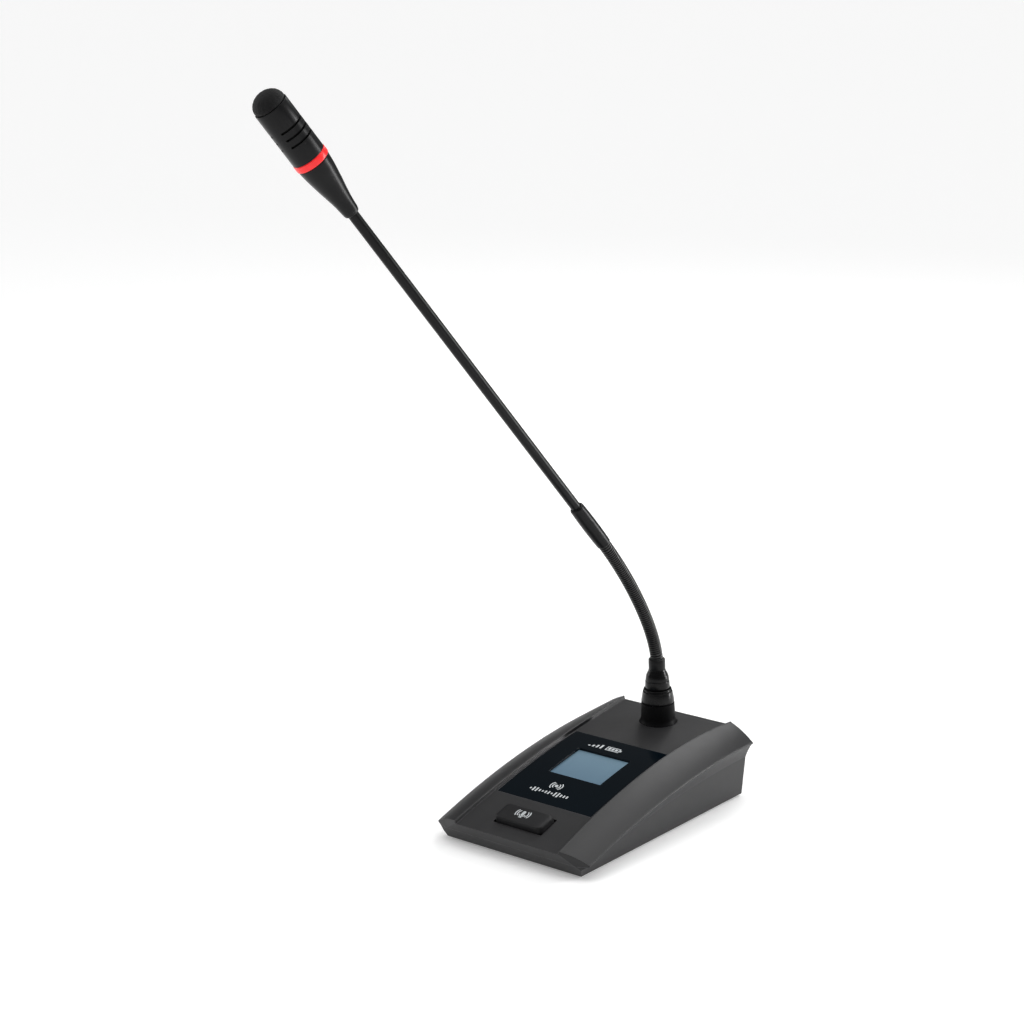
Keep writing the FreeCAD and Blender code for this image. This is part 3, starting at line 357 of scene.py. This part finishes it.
def make_finishes():
    finishes.update({
        "casing": casing_finish(),
        "button": surface("button_plastic", (0.0085, 0.0085, 0.0093), (0.014, 0.014, 0.015), 0.40, 0.50,
                          grain=500.0, bump=0.2, bump_height=0.00003, specular=0.2),
        "lens": surface("lens_black", (0.0008, 0.0028, 0.005), (0.0014, 0.0045, 0.0075), 0.10, 0.15,
                        grain=120.0, bump=0.02, bump_height=0.00002, specular=0.2, edge=0.0002),
        "black_metal": surface("black_metal", (0.006, 0.006, 0.0065), (0.009, 0.009, 0.0095), 0.28, 0.36,
                               grain=500.0, bump=0.15, bump_height=0.00002, specular=0.17),
        "gloss_metal": surface("gloss_metal", (0.004, 0.004, 0.0045), (0.006, 0.006, 0.0065), 0.20, 0.27,
                               grain=500.0, bump=0.08, bump_height=0.00002, specular=0.19),
        "collar": surface("collar_plastic", (0.004, 0.004, 0.0045), (0.006, 0.006, 0.0065), 0.40, 0.50,
                          grain=500.0, bump=0.15, bump_height=0.00002, specular=0.05),
        "coil": surface("coil_steel", (0.012, 0.012, 0.012), (0.020, 0.020, 0.020), 0.25, 0.35, grain=900.0,
                        bump=0.15, bump_height=0.00002, specular=0.45),
        # painted shade for the coil's grooves: the same steel, drawn near-black and matte
        "groove": surface("coil_groove_painted_shade", (0.0015, 0.0015, 0.0015), (0.003, 0.003, 0.003), 0.8, 0.95,
                          grain=900.0, specular=0.05),
        "rubber": surface("pad_rubber", (0.012, 0.012, 0.012), (0.018, 0.018, 0.018), 0.7, 0.85, grain=300.0,
                          bump=0.5, bump_height=0.0001, specular=0.3),
        "screw": surface("screw_steel", (0.10, 0.10, 0.105), (0.16, 0.16, 0.165), 0.3, 0.42, metallic=1.0),
        "steel": surface("tinned_steel", (0.45, 0.46, 0.47), (0.58, 0.59, 0.60), 0.25, 0.4, metallic=1.0,
                         stretch=(1, 12, 1)),
        "iron": surface("blackened_iron", (0.05, 0.05, 0.052), (0.08, 0.08, 0.082), 0.55, 0.7, metallic=0.6),
        "brass": surface("gold_flash", (0.62, 0.42, 0.14), (0.72, 0.50, 0.18), 0.2, 0.3, metallic=1.0),
        "board": surface("solder_mask", (0.010, 0.075, 0.030), (0.014, 0.095, 0.040), 0.25, 0.35,
                         grain=700.0),
        "wrap": surface("cell_wrap", (0.02, 0.06, 0.20), (0.03, 0.075, 0.24), 0.2, 0.3),
        "inner": surface("inner_plastic", (0.016, 0.016, 0.016), (0.022, 0.022, 0.022), 0.5, 0.65),
        "diffuser": surface("milky_diffuser", (0.70, 0.72, 0.73), (0.78, 0.80, 0.81), 0.4, 0.5),
        "gauze": surface("black_gauze", (0.003, 0.003, 0.003), (0.006, 0.006, 0.006), 0.8, 0.95, grain=600.0,
                         bump=0.6, bump_height=0.0001, specular=0.2),
        "print": surface("white_print", (0.55, 0.58, 0.60), (0.66, 0.69, 0.70), 0.45, 0.6, grain=800.0),
        "display": display_finish(),
        "glow": glowing_finish("red_glow", (0.76, 0.010, 0.012), (0.88, 0.018, 0.020), 0.30),
        "foam": foam_finish(),
    })


NODE_FINISH = {
    "casing": ["top_cover", "bottom_cover"],
    "button": ["talk_button"],
    "lens": ["display_lens"],
    "display": ["display_panel"],
    "diffuser": ["display_backlight"],
    "board": ["button_board", "main_board", "inlet_board", "light_board"],
    "inner": ["button_switch", "battery_tray", "capsule_holder", "socket_insert", "plug_insert"],
    "steel": ["radio_module", "charge_inlet", "capsule"],
    "iron": ["ballast_plate"],
    "wrap": ["battery_cells"],
    "rubber": ["anti_slip_pad"],
    "screw": ["case_screws", "board_screws"],
    "brass": ["socket_contacts", "plug_pins"],
    "collar": ["socket_collar", "socket_locknut"],
    "black_metal": ["lock_ring", "neck_ferrule", "coupling_sleeve", "boom_tube", "head_cone", "head_barrel"],
    "gloss_metal": ["plug_shell", "plug_bell"],
    "coil": link_names,
    "glow": ["light_ring"],
    "foam": ["foam_windscreen"],
}


def dress_nodes():
    for finish, names in NODE_FINISH.items():
        for name in names:
            slots = nodes[name].data.materials
            slots.clear()
            slots.append(finishes[finish])


# ------------------------------------------------------------------ modelling helpers

def deselect():
    if bpy.context.object and bpy.context.object.mode != "OBJECT":
        bpy.ops.object.mode_set(mode="OBJECT")
    bpy.ops.object.select_all(action="DESELECT")


def settle(piece, name, place, finish, smooth=35.0):
    """Name a piece, put its place into its mesh, and give it its finish."""
    deselect()
    piece.name = name
    piece.data.name = name
    piece.select_set(True)
    bpy.context.view_layer.objects.active = piece
    piece.matrix_world = place
    bpy.ops.object.transform_apply(location=True, rotation=True, scale=True)
    piece.data.materials.clear()
    piece.data.materials.append(finishes[finish])
    bpy.ops.object.shade_smooth_by_angle(angle=math.radians(smooth))


def finish_piece(piece, body, slot_name, *stands_for):
    """Make a piece ride its body and hide the nodes it stands for. slot_name is not used."""
    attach(piece, body)
    if stands_for:
        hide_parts(*stands_for)


def modifier(piece, kind, **settings):
    """Add a modifier and apply it at once."""
    added = piece.modifiers.new(kind.lower(), kind)
    for key, value in settings.items():
        setattr(added, key, value)
    bpy.context.view_layer.objects.active = piece
    bpy.ops.object.modifier_apply(modifier=added.name)


def turn_profile(profile, segments=72):
    """A round piece: a circle extruded and scaled from one (radius, height) to the next.
    A profile that starts or ends at radius 0 is closed there; otherwise it closes on itself."""
    closed_low = profile[0][0] == 0
    closed_high = profile[-1][0] == 0
    points = [p for p in profile if p[0] > 0]
    deselect()
    bpy.ops.mesh.primitive_circle_add(vertices=segments, radius=points[0][0], location=(0, 0, 0))
    piece = bpy.context.object
    bpy.ops.object.mode_set(mode="EDIT")
    bpy.ops.mesh.select_all(action="SELECT")
    bpy.ops.transform.translate(value=(0, 0, points[0][1]))
    if closed_low:
        bpy.ops.mesh.edge_face_add()
        bpy.ops.mesh.poke()
        bpy.ops.mesh.select_all(action="DESELECT")
        select_ring(piece, points[0])
    for (radius, height), (next_radius, next_height) in zip(points, points[1:]):
        bpy.ops.mesh.extrude_region_move(
            TRANSFORM_OT_translate={"value": (0, 0, next_height - height)})
        factor = next_radius / radius
        bpy.ops.transform.resize(value=(factor, factor, 1), center_override=(0, 0, next_height))
    if closed_high:
        bpy.ops.mesh.edge_face_add()
        bpy.ops.mesh.poke()
    elif not closed_low:
        select_ring(piece, points[0], also=points[-1])
        bpy.ops.mesh.bridge_edge_loops()
    bpy.ops.mesh.select_all(action="SELECT")
    bpy.ops.mesh.normals_make_consistent(inside=False)
    bpy.ops.object.mode_set(mode="OBJECT")
    return piece


def select_ring(piece, point, also=None):
    """Select the loop of edges at one (radius, height) of a turned piece."""
    bpy.ops.mesh.select_mode(type="VERT")
    bpy.ops.mesh.select_all(action="DESELECT")
    bpy.ops.object.mode_set(mode="OBJECT")
    wanted = [point] if also is None else [point, also]
    for vertex in piece.data.vertices:
        radius = math.hypot(vertex.co.x, vertex.co.y)
        for ring_radius, height in wanted:
            if abs(radius - ring_radius) < 1e-6 and abs(vertex.co.z - height) < 1e-6:
                vertex.select = True
    bpy.ops.object.mode_set(mode="EDIT")
    bpy.ops.mesh.select_mode(type="EDGE")


def soften(profile, radius, steps=3):
    """Round the corners of a closed (radius, height) profile, leaving ends on the axis alone."""
    softened = []
    count = len(profile)
    on_axis = profile[0][0] == 0 or profile[-1][0] == 0
    for index, point in enumerate(profile):
        here = Vector(point)
        if on_axis and index in (0, count - 1):
            softened.append(point)
            continue
        before = Vector(profile[index - 1]) - here
        after = Vector(profile[(index + 1) % count]) - here
        reach = min(radius, before.length * 0.45, after.length * 0.45)
        straight = before.normalized().dot(after.normalized()) < -0.97
        if straight or reach < 1e-6:
            softened.append(point)
            continue
        start = here + before.normalized() * reach
        finish = here + after.normalized() * reach
        for step in range(steps + 1):
            t = step / steps
            spot = start * (1 - t) ** 2 + here * (2 * t * (1 - t)) + finish * t ** 2
            softened.append((spot.x, spot.y))
    return softened


def curve_between(points, steps=8):
    """A smooth (radius, height) line through points, as a Catmull-Rom curve."""
    line = []
    padded = [points[0]] + list(points) + [points[-1]]
    for a, b, c, d in zip(padded, padded[1:], padded[2:], padded[3:]):
        for step in range(steps):
            t = step / steps
            line.append(tuple(0.5 * (2 * q + (r - p) * t + (2 * p - 5 * q + 4 * r - s) * t * t
                                     + (3 * q - p - 3 * r + s) * t ** 3)
                              for p, q, r, s in zip(a, b, c, d)))
    line.append(points[-1])
    return line


# ------------------------------------------------------------------ boom and head

def boom_span(node):
    return span(node, boom_place)


def make_sleeve():
    low, high, radius = boom_span("coupling_sleeve")
    end = radius - 0.30 * MM
    length = high - low
    outside = curve_between([(end, low + 0.8 * MM), (radius - 0.08 * MM, low + length * 0.25),
                             (radius, low + length / 2), (radius - 0.08 * MM, high - length * 0.25),
                             (end, high - 0.8 * MM)], 6)
    profile = [(LEAD_BORE, low), (end - 0.6 * MM, low), (end, low + 0.6 * MM)] + outside
    profile += [(end - 0.6 * MM, high), (3.15 * MM, high), (LEAD_BORE, high - 2 * MM)]
    piece = turn_profile(soften(profile, 0.3 * MM))
    settle(piece, "sleeve_skin", boom_place, "black_metal")
    finish_piece(piece, "boom", "black_metal", "coupling_sleeve")


def make_tube():
    low, high, radius = boom_span("boom_tube")
    profile = [(radius - 0.6 * MM, low), (radius, low), (radius, high), (radius - 0.6 * MM, high)]
    piece = turn_profile(soften(profile, 0.1 * MM))
    settle(piece, "tube_skin", boom_place, "black_metal")
    finish_piece(piece, "boom", "black_metal", "boom_tube")


def make_cone():
    low, high, radius = boom_span("head_cone")
    widths = [(4.35, 0.5), (4.72, 2.0), (5.06, 5.6), (5.46, 9.0), (6.02, 12.4), (6.63, 15.8), (7.29, 19.2),
              (7.87, 22.6), (8.44, 26.0), (8.96, 29.4), (9.33, 32.8), (9.66, 36.0)]
    outside = [(width * MM, low + rise * MM) for width, rise in widths]
    profile = [(3.16 * MM, low), (4.0 * MM, low)] + curve_between(outside, 4)
    profile += [(radius - 0.15 * MM, high), (radius - 1.3 * MM, high), (5.3 * MM, low + 15.8 * MM),
                (3.16 * MM, low + 6 * MM)]
    piece = turn_profile(soften(profile, 0.25 * MM), 96)
    settle(piece, "cone_skin", boom_place, "black_metal")
    finish_piece(piece, "boom", "black_metal", "head_cone")


def make_glow_ring():
    low, high, radius = boom_span("light_ring")
    gap, wall = 0.15 * MM, 1.5 * MM
    profile = [(radius - wall, low), (radius, low + gap), (radius, high - gap), (radius - wall, high)]
    piece = turn_profile(soften(profile, 0.5 * MM, 4), 96)
    settle(piece, "glow_ring", boom_place, "glow")
    finish_piece(piece, "boom", "red_light", "light_ring")


SLOT_ROWS = 3
SLOT_PITCH = 4.6 * MM
SLOT_FIRST = 11.5 * MM
SLOT_WIDTH = 1.2 * MM
SLOT_ARC = math.radians(140)
SLOT_TURN = math.radians(40)


def slot_cutter(middle, radius, turn):
    """A curved bar that cuts one slot: a rectangle spun round the barrel's axis."""
    deselect()
    bpy.ops.mesh.primitive_plane_add(size=1, location=(radius, 0, middle), rotation=(math.pi / 2, 0, 0))
    piece = bpy.context.object
    piece.scale = (4 * MM, SLOT_WIDTH, 1)
    bpy.ops.object.transform_apply(location=True, rotation=True, scale=True)
    bpy.ops.object.mode_set(mode="EDIT")
    bpy.ops.mesh.select_all(action="SELECT")
    bpy.ops.mesh.spin(steps=40, dupli=False, angle=SLOT_ARC, center=(0, 0, 0), axis=(0, 0, 1))
    bpy.ops.mesh.select_all(action="SELECT")
    bpy.ops.mesh.remove_doubles(threshold=1e-7)
    bpy.ops.mesh.normals_make_consistent(inside=False)
    bpy.ops.object.mode_set(mode="OBJECT")
    piece.rotation_euler = (0, 0, turn + SLOT_ARC / 2)
    bpy.ops.object.transform_apply(location=True, rotation=True, scale=True)
    return piece


def make_barrel():
    low, high, radius = boom_span("head_barrel")
    wall = 1.3 * MM
    profile = [(radius - wall, low), (radius, low), (radius, high), (radius - wall, high)]
    piece = turn_profile(soften(profile, 0.25 * MM), 144)
    for row in range(SLOT_ROWS):
        for half_turn in (0, math.pi):
            cutter = slot_cutter(low + SLOT_FIRST + row * SLOT_PITCH, radius, SLOT_TURN + half_turn)
            modifier(piece, "BOOLEAN", object=cutter, operation="DIFFERENCE", solver="EXACT")
            bpy.data.objects.remove(cutter)
    modifier(piece, "BEVEL", width=0.5 * MM, segments=3, limit_method="ANGLE",
             angle_limit=math.radians(50), use_clamp_overlap=True)
    settle(piece, "barrel_skin", boom_place, "black_metal")
    finish_piece(piece, "boom", "black_metal", "head_barrel")


def make_foam():
    low, high, radius = boom_span("foam_windscreen")
    rim = boom_span("head_barrel")[1] + 0.1 * MM
    inner = radius - 1.1 * MM
    dome_foot, dome_steps = rim + 0.9 * MM, 15
    dome = []
    for step in range(1, dome_steps):
        angle = math.radians(90 * step / dome_steps)
        dome.append((radius * math.cos(angle), dome_foot + (high - dome_foot) * math.sin(angle)))
    profile = [(0, low), (inner, low), (inner, rim), (radius - 0.45 * MM, rim + 0.05 * MM),
               (radius, rim + 0.6 * MM)]
    profile += dome + [(0, high - 0.05 * MM)]
    piece = turn_profile(profile, 64)
    modifier(piece, "SUBSURF", levels=2, render_levels=2)
    texture = bpy.data.textures.new("foam_cells", "CLOUDS")
    texture.noise_scale = 0.0009
    modifier(piece, "DISPLACE", texture=texture, texture_coords="LOCAL", strength=0.00035, mid_level=0.75)
    settle(piece, "foam_cap", boom_place, "foam", smooth=180)
    finish_piece(piece, "boom", "foam", "foam_windscreen")


# ------------------------------------------------------------------ flexible neck

COIL_PITCH = 1.4 * MM
COIL_DEPTH = 0.60 * MM
COIL_SIDES = 40
COIL_STEPS = 8
GROOVE_SHADE_FROM = 0.30              # how far off the wire's crown, in turns, the painted shade of the groove starts


def coil_radius(along, angle, radius):
    """Outer radius of the wound wire at a distance along the neck and an angle round it."""
    phase = (along / COIL_PITCH - angle / (2 * math.pi)) % 1.0
    return radius - COIL_DEPTH * (1 - math.sqrt(max(0.0, 1 - (2 * phase - 1) ** 2))) ** 1.3


def make_neck_skins():
    """One skin over each bend, from the middle of one link to the middle of the next. The wire's winding
    runs on from skin to skin, so its rows are laid out one by one."""
    hinges = []
    for number in range(1, NECK_BENDS + 1):
        hinges.append(Vector(joints["neck_sway_%d" % number]["pos_m"]))
        hinges.append(Vector(joints["neck_bend_%d" % number]["pos_m"]))
    ferrule_top = span("neck_ferrule", plug_place)[1]
    foot = plug_place @ Vector((0, 0, ferrule_top - 1.0 * MM))
    sleeve_low = boom_span("coupling_sleeve")[0]
    tip = boom_place @ Vector((0, 0, sleeve_low + 1.0 * MM))
    middles = [foot] + [centre(name) for name in link_names] + [tip]
    radius = span(link_names[-1], upright(hinges[-1] - hinges[-2], hinges[-2], FACING))[2]
    travelled = 0.0
    side = (FACING - plug_axis * plug_axis.dot(FACING)).normalized()
    for index, hinge in enumerate(hinges):
        start, finish = middles[index], middles[index + 1]
        length = (hinge - start).length + (finish - hinge).length
        rows = max(4, round(length / COIL_PITCH * COIL_STEPS))
        vertices = []
        for row in range(rows + 1):
            t = row / rows
            point = start * (1 - t) ** 2 + hinge * (2 * t * (1 - t)) + finish * t ** 2
            along = ((hinge - start) * (1 - t) + (finish - hinge) * t).normalized()
            side = (side - along * along.dot(side)).normalized()
            across = along.cross(side)
            for corner in range(COIL_SIDES):
                angle = 2 * math.pi * corner / COIL_SIDES
                r = coil_radius(travelled + length * t, angle, radius)
                vertices.append(point + (side * math.cos(angle) + across * math.sin(angle)) * r)
        faces = []
        for row in range(rows):
            for corner in range(COIL_SIDES):
                after = (corner + 1) % COIL_SIDES
                here, above = row * COIL_SIDES, (row + 1) * COIL_SIDES
                faces.append((here + corner, here + after, above + after, above + corner))
        low_cap, high_cap = len(vertices), len(vertices) + 1
        vertices += [start, finish]
        last = rows * COIL_SIDES
        for corner in range(COIL_SIDES):
            after = (corner + 1) % COIL_SIDES
            faces.append((low_cap, after, corner))
            faces.append((high_cap, last + corner, last + after))
        mesh = bpy.data.meshes.new("neck_coil_%02d" % (index + 1))
        mesh.from_pydata([tuple(v) for v in vertices], [], faces)
        piece = bpy.data.objects.new(mesh.name, mesh)
        bpy.context.scene.collection.objects.link(piece)
        settle(piece, mesh.name, Matrix.Identity(4), "coil", smooth=60)
        # faces down in the winding's groove take the near-black finish: painted shade in the groove
        piece.data.materials.append(finishes["groove"])
        for number, face in enumerate(piece.data.polygons[:rows * COIL_SIDES]):
            row, corner = divmod(number, COIL_SIDES)
            along = travelled + length * (row + 0.5) / rows
            phase = (along / COIL_PITCH - (corner + 0.5) / COIL_SIDES) % 1.0
            face.material_index = 1 if abs(phase - 0.5) > GROOVE_SHADE_FROM else 0
        if index < len(link_names):
            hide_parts(link_names[index])
        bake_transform(piece)
        travelled += length


# ------------------------------------------------------------------ head's dark lining

def make_slot_gauze():
    """Fine black cloth gauze behind the slots."""
    low, _, radius = boom_span("head_barrel")
    outer = radius - 1.35 * MM
    inner = outer - 0.4 * MM
    bottom = low + SLOT_FIRST - 4 * MM
    top = bottom + SLOT_PITCH * (SLOT_ROWS - 1) + 8 * MM
    piece = turn_profile([(inner, bottom), (outer, bottom), (outer, top), (inner, top)], 96)
    settle(piece, "slot_gauze", boom_place, "gauze")
    finish_piece(piece, "boom", "foam")


# ------------------------------------------------------------------ socket and plug

def make_collar():
    low, high, radius = span("socket_collar", plug_place)
    top_radius = 10.3 * MM
    flange, thread = high - 13.3 * MM, 10.4 * MM
    profile = [(SOCKET_BORE, low), (thread, low), (thread, flange), (radius, flange),
               (radius, high - 12.7 * MM), (radius - 0.75 * MM, high - 11.6 * MM),
               (10.7 * MM, high - 10.4 * MM), (top_radius, high - 0.3 * MM), (top_radius - 0.5 * MM, high),
               (SOCKET_BORE, high)]
    piece = turn_profile(soften(profile, 0.5 * MM), 96)
    settle(piece, "collar_skin", plug_place, "collar")
    finish_piece(piece, "base", "black_metal", "socket_collar")


def make_lock_ring():
    low, high, radius = span("lock_ring", plug_place)
    bore = 7.56 * MM
    top_radius = 8.8 * MM
    waist = top_radius - 0.45 * MM
    profile = [(bore, low), (radius - 0.35 * MM, low), (radius, low + 0.4 * MM),
               (radius - 0.05 * MM, low + 1.6 * MM), (top_radius + 0.35 * MM, high - 1.7 * MM),
               (waist, high - 1.45 * MM), (waist, high - 0.95 * MM),
               (top_radius + 0.05 * MM, high - 0.75 * MM),
               (top_radius - 0.35 * MM, high), (bore, high)]
    piece = turn_profile(soften(profile, 0.25 * MM), 96)
    settle(piece, "lock_ring_skin", plug_place, "gloss_metal")
    finish_piece(piece, "lock_ring", "black_metal", "lock_ring")


def make_bell():
    low, high, radius = span("plug_bell", plug_place)
    outside = [(radius - 0.1 * MM, low + 0.5 * MM), (radius, low + 1.6 * MM),
               (radius - 0.2 * MM, low + 4.7 * MM)]
    shoulder = [(7.2 * MM, low + 7.0 * MM), (6.85 * MM, low + 8.4 * MM), (6.2 * MM, low + 9.9 * MM),
                (5.55 * MM, low + 11.3 * MM), (5.2 * MM, high)]
    groove = [(radius - 0.5 * MM, low + 4.9 * MM), (radius - 0.5 * MM, low + 5.2 * MM),
              (7.35 * MM, low + 5.4 * MM)]
    mouth, ledge = 6.2 * MM, low + 4 * MM
    profile = [(mouth, low), (radius - 0.4 * MM, low)] + outside + groove + curve_between(shoulder, 4)
    profile += [(LEAD_BORE, high), (LEAD_BORE, ledge), (mouth, ledge)]
    piece = turn_profile(soften(profile, 0.15 * MM), 96)
    settle(piece, "bell_skin", plug_place, "gloss_metal")
    finish_piece(piece, "mic_plug", "black_metal", "plug_bell")


def make_ferrule():
    low, high, radius = span("neck_ferrule", plug_place)
    profile = [(LEAD_BORE, low), (radius, low), (radius, high - 1.5 * MM),
               (radius - 0.25 * MM, high - 1.3 * MM), (radius, high - 1.1 * MM),
               (radius - 0.1 * MM, high - 0.4 * MM), (radius - 0.7 * MM, high), (LEAD_BORE, high)]
    piece = turn_profile(soften(profile, 0.25 * MM), 96)
    settle(piece, "ferrule_skin", plug_place, "black_metal")
    finish_piece(piece, "mic_plug", "black_metal", "neck_ferrule")


# ------------------------------------------------------------------ talk button

button_up = -Vector(joints["button_press"]["axis"])


def button_frame():
    """Origin in the middle of the button's top face, +Z square to it, +X across the base."""
    points = [v.co for v in nodes["talk_button"].data.vertices]
    top = max(p.dot(button_up) for p in points)
    face = [p for p in points if p.dot(button_up) > top - 0.01 * MM]
    low = Vector((min(p.x for p in face), min(p.y for p in face), min(p.z for p in face)))
    high = Vector((max(p.x for p in face), max(p.y for p in face), max(p.z for p in face)))
    return upright(button_up, (low + high) / 2, (1, 0, 0))


def pick(piece, test, mode):
    """Select the vertices, edges or faces of a piece that pass a test, and leave it in edit mode."""
    bpy.ops.object.mode_set(mode="EDIT")
    bpy.ops.mesh.select_mode(type=mode)
    bpy.ops.mesh.select_all(action="DESELECT")
    bpy.ops.object.mode_set(mode="OBJECT")
    items = {"VERT": piece.data.vertices, "EDGE": piece.data.edges, "FACE": piece.data.polygons}[mode]
    for item in items:
        item.select = test(item)
    bpy.ops.object.mode_set(mode="EDIT")


def make_button():
    """A wide key with rounded ends: a skirt, a short upright side, then a pillowed top in three steps."""
    place = button_frame()
    width, depth = 34.2 * MM, 15.3 * MM
    rise, skirt = 4.0 * MM, 2.4 * MM
    deselect()
    bpy.ops.mesh.primitive_cube_add(size=1, location=(0, 0, -rise - skirt / 2))
    piece = bpy.context.object
    piece.scale = (width, depth, skirt)
    bpy.ops.object.transform_apply(location=True, rotation=True, scale=True)
    ends = piece.data.vertices
    pick(piece, lambda edge: abs(ends[edge.vertices[0]].co.z - ends[edge.vertices[1]].co.z) > skirt / 2,
         "EDGE")
    bpy.ops.mesh.bevel(offset=3.2 * MM, segments=8, affect="EDGES")
    bpy.ops.object.mode_set(mode="OBJECT")
    pick(piece, lambda face: face.center.z > -rise - 0.01 * MM, "FACE")
    # each ring: how far it rises, and how far its ends and its long sides draw in together, in mm
    rings = [(2.9, 0.9, 0.9), (0.55, 0.5, 0.5), (0.32, 0.8, 0.8), (0.15, 1.2, 1.1), (0.08, 3.6, 2.4)]
    wide, deep = width, depth
    for up, in_x, in_y in rings:
        bpy.ops.mesh.extrude_region_move(TRANSFORM_OT_translate={"value": (0, 0, up * MM)})
        scale_x, scale_y = 1 - in_x * MM / wide, 1 - in_y * MM / deep
        bpy.ops.transform.resize(value=(scale_x, scale_y, 1), center_override=(0, 0, 0))
        wide, deep = wide * scale_x, deep * scale_y
    bpy.ops.object.mode_set(mode="OBJECT")
    modifier(piece, "BEVEL", width=0.45 * MM, segments=3, limit_method="ANGLE",
             angle_limit=math.radians(14))
    settle(piece, "button_cap", place, "button", smooth=60)
    finish_piece(piece, "talk_button", "button", "talk_button")


# ------------------------------------------------------------------ printed marks

PRINT_THICKNESS = 0.08 * MM


def on_surface(node, x, y):
    """A frame on a node's upper surface above or below a place, +Z square to the surface."""
    _, point, normal, _ = nodes[node].ray_cast(Vector((x, y, 0.3)), Vector((0, 0, -1)))
    return upright(normal, point, (1, 0, 0))


def bar(x, y, width, height):
    bpy.ops.mesh.primitive_plane_add(size=1, location=(x * MM, y * MM, 0))
    bpy.context.object.scale = (width * MM, height * MM, 1)
    bpy.ops.object.transform_apply(location=True, rotation=True, scale=True)
    return bpy.context.object


def disc(x, y, radius):
    bpy.ops.mesh.primitive_circle_add(vertices=32, radius=radius * MM, fill_type="NGON",
                                      location=(x * MM, y * MM, 0))
    bpy.ops.object.transform_apply(location=True, rotation=True, scale=True)
    return bpy.context.object


def arc(x, y, radius, width, start, finish):
    """A band bent round a point between two angles in degrees."""
    inner = (radius - width / 2) * MM
    bpy.ops.mesh.primitive_circle_add(vertices=72, radius=inner, location=(0, 0, 0))
    piece = bpy.context.object
    bpy.ops.object.mode_set(mode="EDIT")
    bpy.ops.mesh.select_mode(type="VERT")
    bpy.ops.mesh.select_all(action="DESELECT")
    bpy.ops.object.mode_set(mode="OBJECT")
    for vertex in piece.data.vertices:
        angle = math.degrees(math.atan2(vertex.co.y, vertex.co.x)) % 360
        vertex.select = not (start <= angle <= finish or start <= angle + 360 <= finish)
    bpy.ops.object.mode_set(mode="EDIT")
    bpy.ops.mesh.delete(type="VERT")
    bpy.ops.mesh.select_all(action="SELECT")
    bpy.ops.mesh.extrude_region_move(TRANSFORM_OT_translate={"value": (0, 0, 0)})
    factor = (radius + width / 2) / (radius - width / 2)
    bpy.ops.transform.resize(value=(factor, factor, 1), center_override=(0, 0, 0))
    bpy.ops.object.mode_set(mode="OBJECT")
    piece.location = (x * MM, y * MM, 0)
    bpy.ops.object.transform_apply(location=True, rotation=True, scale=True)
    return piece


def print_mark(name, shapes, place, body):
    """Join flat shapes into one thin layer of print and lay it on its surface."""
    deselect()
    for shape in shapes:
        shape.select_set(True)
    bpy.context.view_layer.objects.active = shapes[0]
    if len(shapes) > 1:
        bpy.ops.object.join()
    piece = shapes[0]
    bpy.ops.object.mode_set(mode="EDIT")
    bpy.ops.mesh.select_all(action="SELECT")
    bpy.ops.mesh.normals_make_consistent(inside=False)
    bpy.ops.object.mode_set(mode="OBJECT")
    if piece.data.polygons[0].normal.z < 0:
        piece.data.flip_normals()
    modifier(piece, "SOLIDIFY", thickness=PRINT_THICKNESS, offset=1.0)
    settle(piece, name, place, "print")
    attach(piece, body)


def make_talk_mark():
    deselect()
    shapes = [bar(0, 0.9, 2.0, 2.4), disc(0, 2.1, 1.0), disc(0, -0.3, 1.0),
              arc(0, -0.1, 1.9, 0.5, 180, 360), bar(0, -2.4, 0.5, 0.9), bar(0, -2.9, 2.2, 0.5),
              arc(0, 0.6, 3.4, 0.6, 315, 405), arc(0, 0.6, 3.4, 0.6, 135, 225),
              arc(0, 0.6, 4.8, 0.6, 322, 398), arc(0, 0.6, 4.8, 0.6, 142, 218)]
    place = button_frame() @ Matrix.Translation((-1.0 * MM, 0.2 * MM, 0))
    print_mark("talk_mark", shapes, place, "talk_button")


def make_display_marks():
    deselect()
    signal = [bar(-12 + 2.7 * step, -2.3 + 0.575 * (step + 1), 1.3, 1.15 * (step + 1)) for step in range(4)]
    outline = [bar(4.5, 2.0, 9.6, 0.6), bar(4.5, -2.0, 9.6, 0.6), bar(0.0, 0, 0.6, 4.0),
               bar(9.0, 0, 0.6, 4.0), bar(10.0, 0, 1.0, 1.8)]
    charge = [bar(2.1 + 2.4 * step, 0, 1.6, 2.4) for step in range(3)]
    place = on_surface("display_lens", -3.5 * MM, 17 * MM)
    print_mark("status_mark", signal + outline + charge, place, "base")
    waves = [disc(0, 0, 1.1), arc(0, 0, 2.4, 0.7, 300, 420), arc(0, 0, 2.4, 0.7, 120, 240),
             arc(0, 0, 4.0, 0.7, 310, 410), arc(0, 0, 4.0, 0.7, 130, 230)]
    print_mark("wave_mark", waves, on_surface("display_lens", -4 * MM, -33.4 * MM), "base")
    levels = []
    for step in range(13):
        height = 1.4 + 3.4 * abs(math.sin(step * 0.9) * math.cos(step * 0.37))
        levels.append(bar(-13.2 + 2.2 * step, 0, 1.0, height))
    print_mark("level_mark", levels, on_surface("display_lens", -4 * MM, -41 * MM), "base")


# ------------------------------------------------------------------ finish the scene

make_finishes()
dress_nodes()
make_camera()
make_stage()
make_sleeve()
make_tube()
make_cone()
make_glow_ring()
make_barrel()
make_foam()
make_slot_gauze()
make_neck_skins()
make_collar()
make_lock_ring()
make_bell()
make_ferrule()
make_button()
make_talk_mark()
make_display_marks()
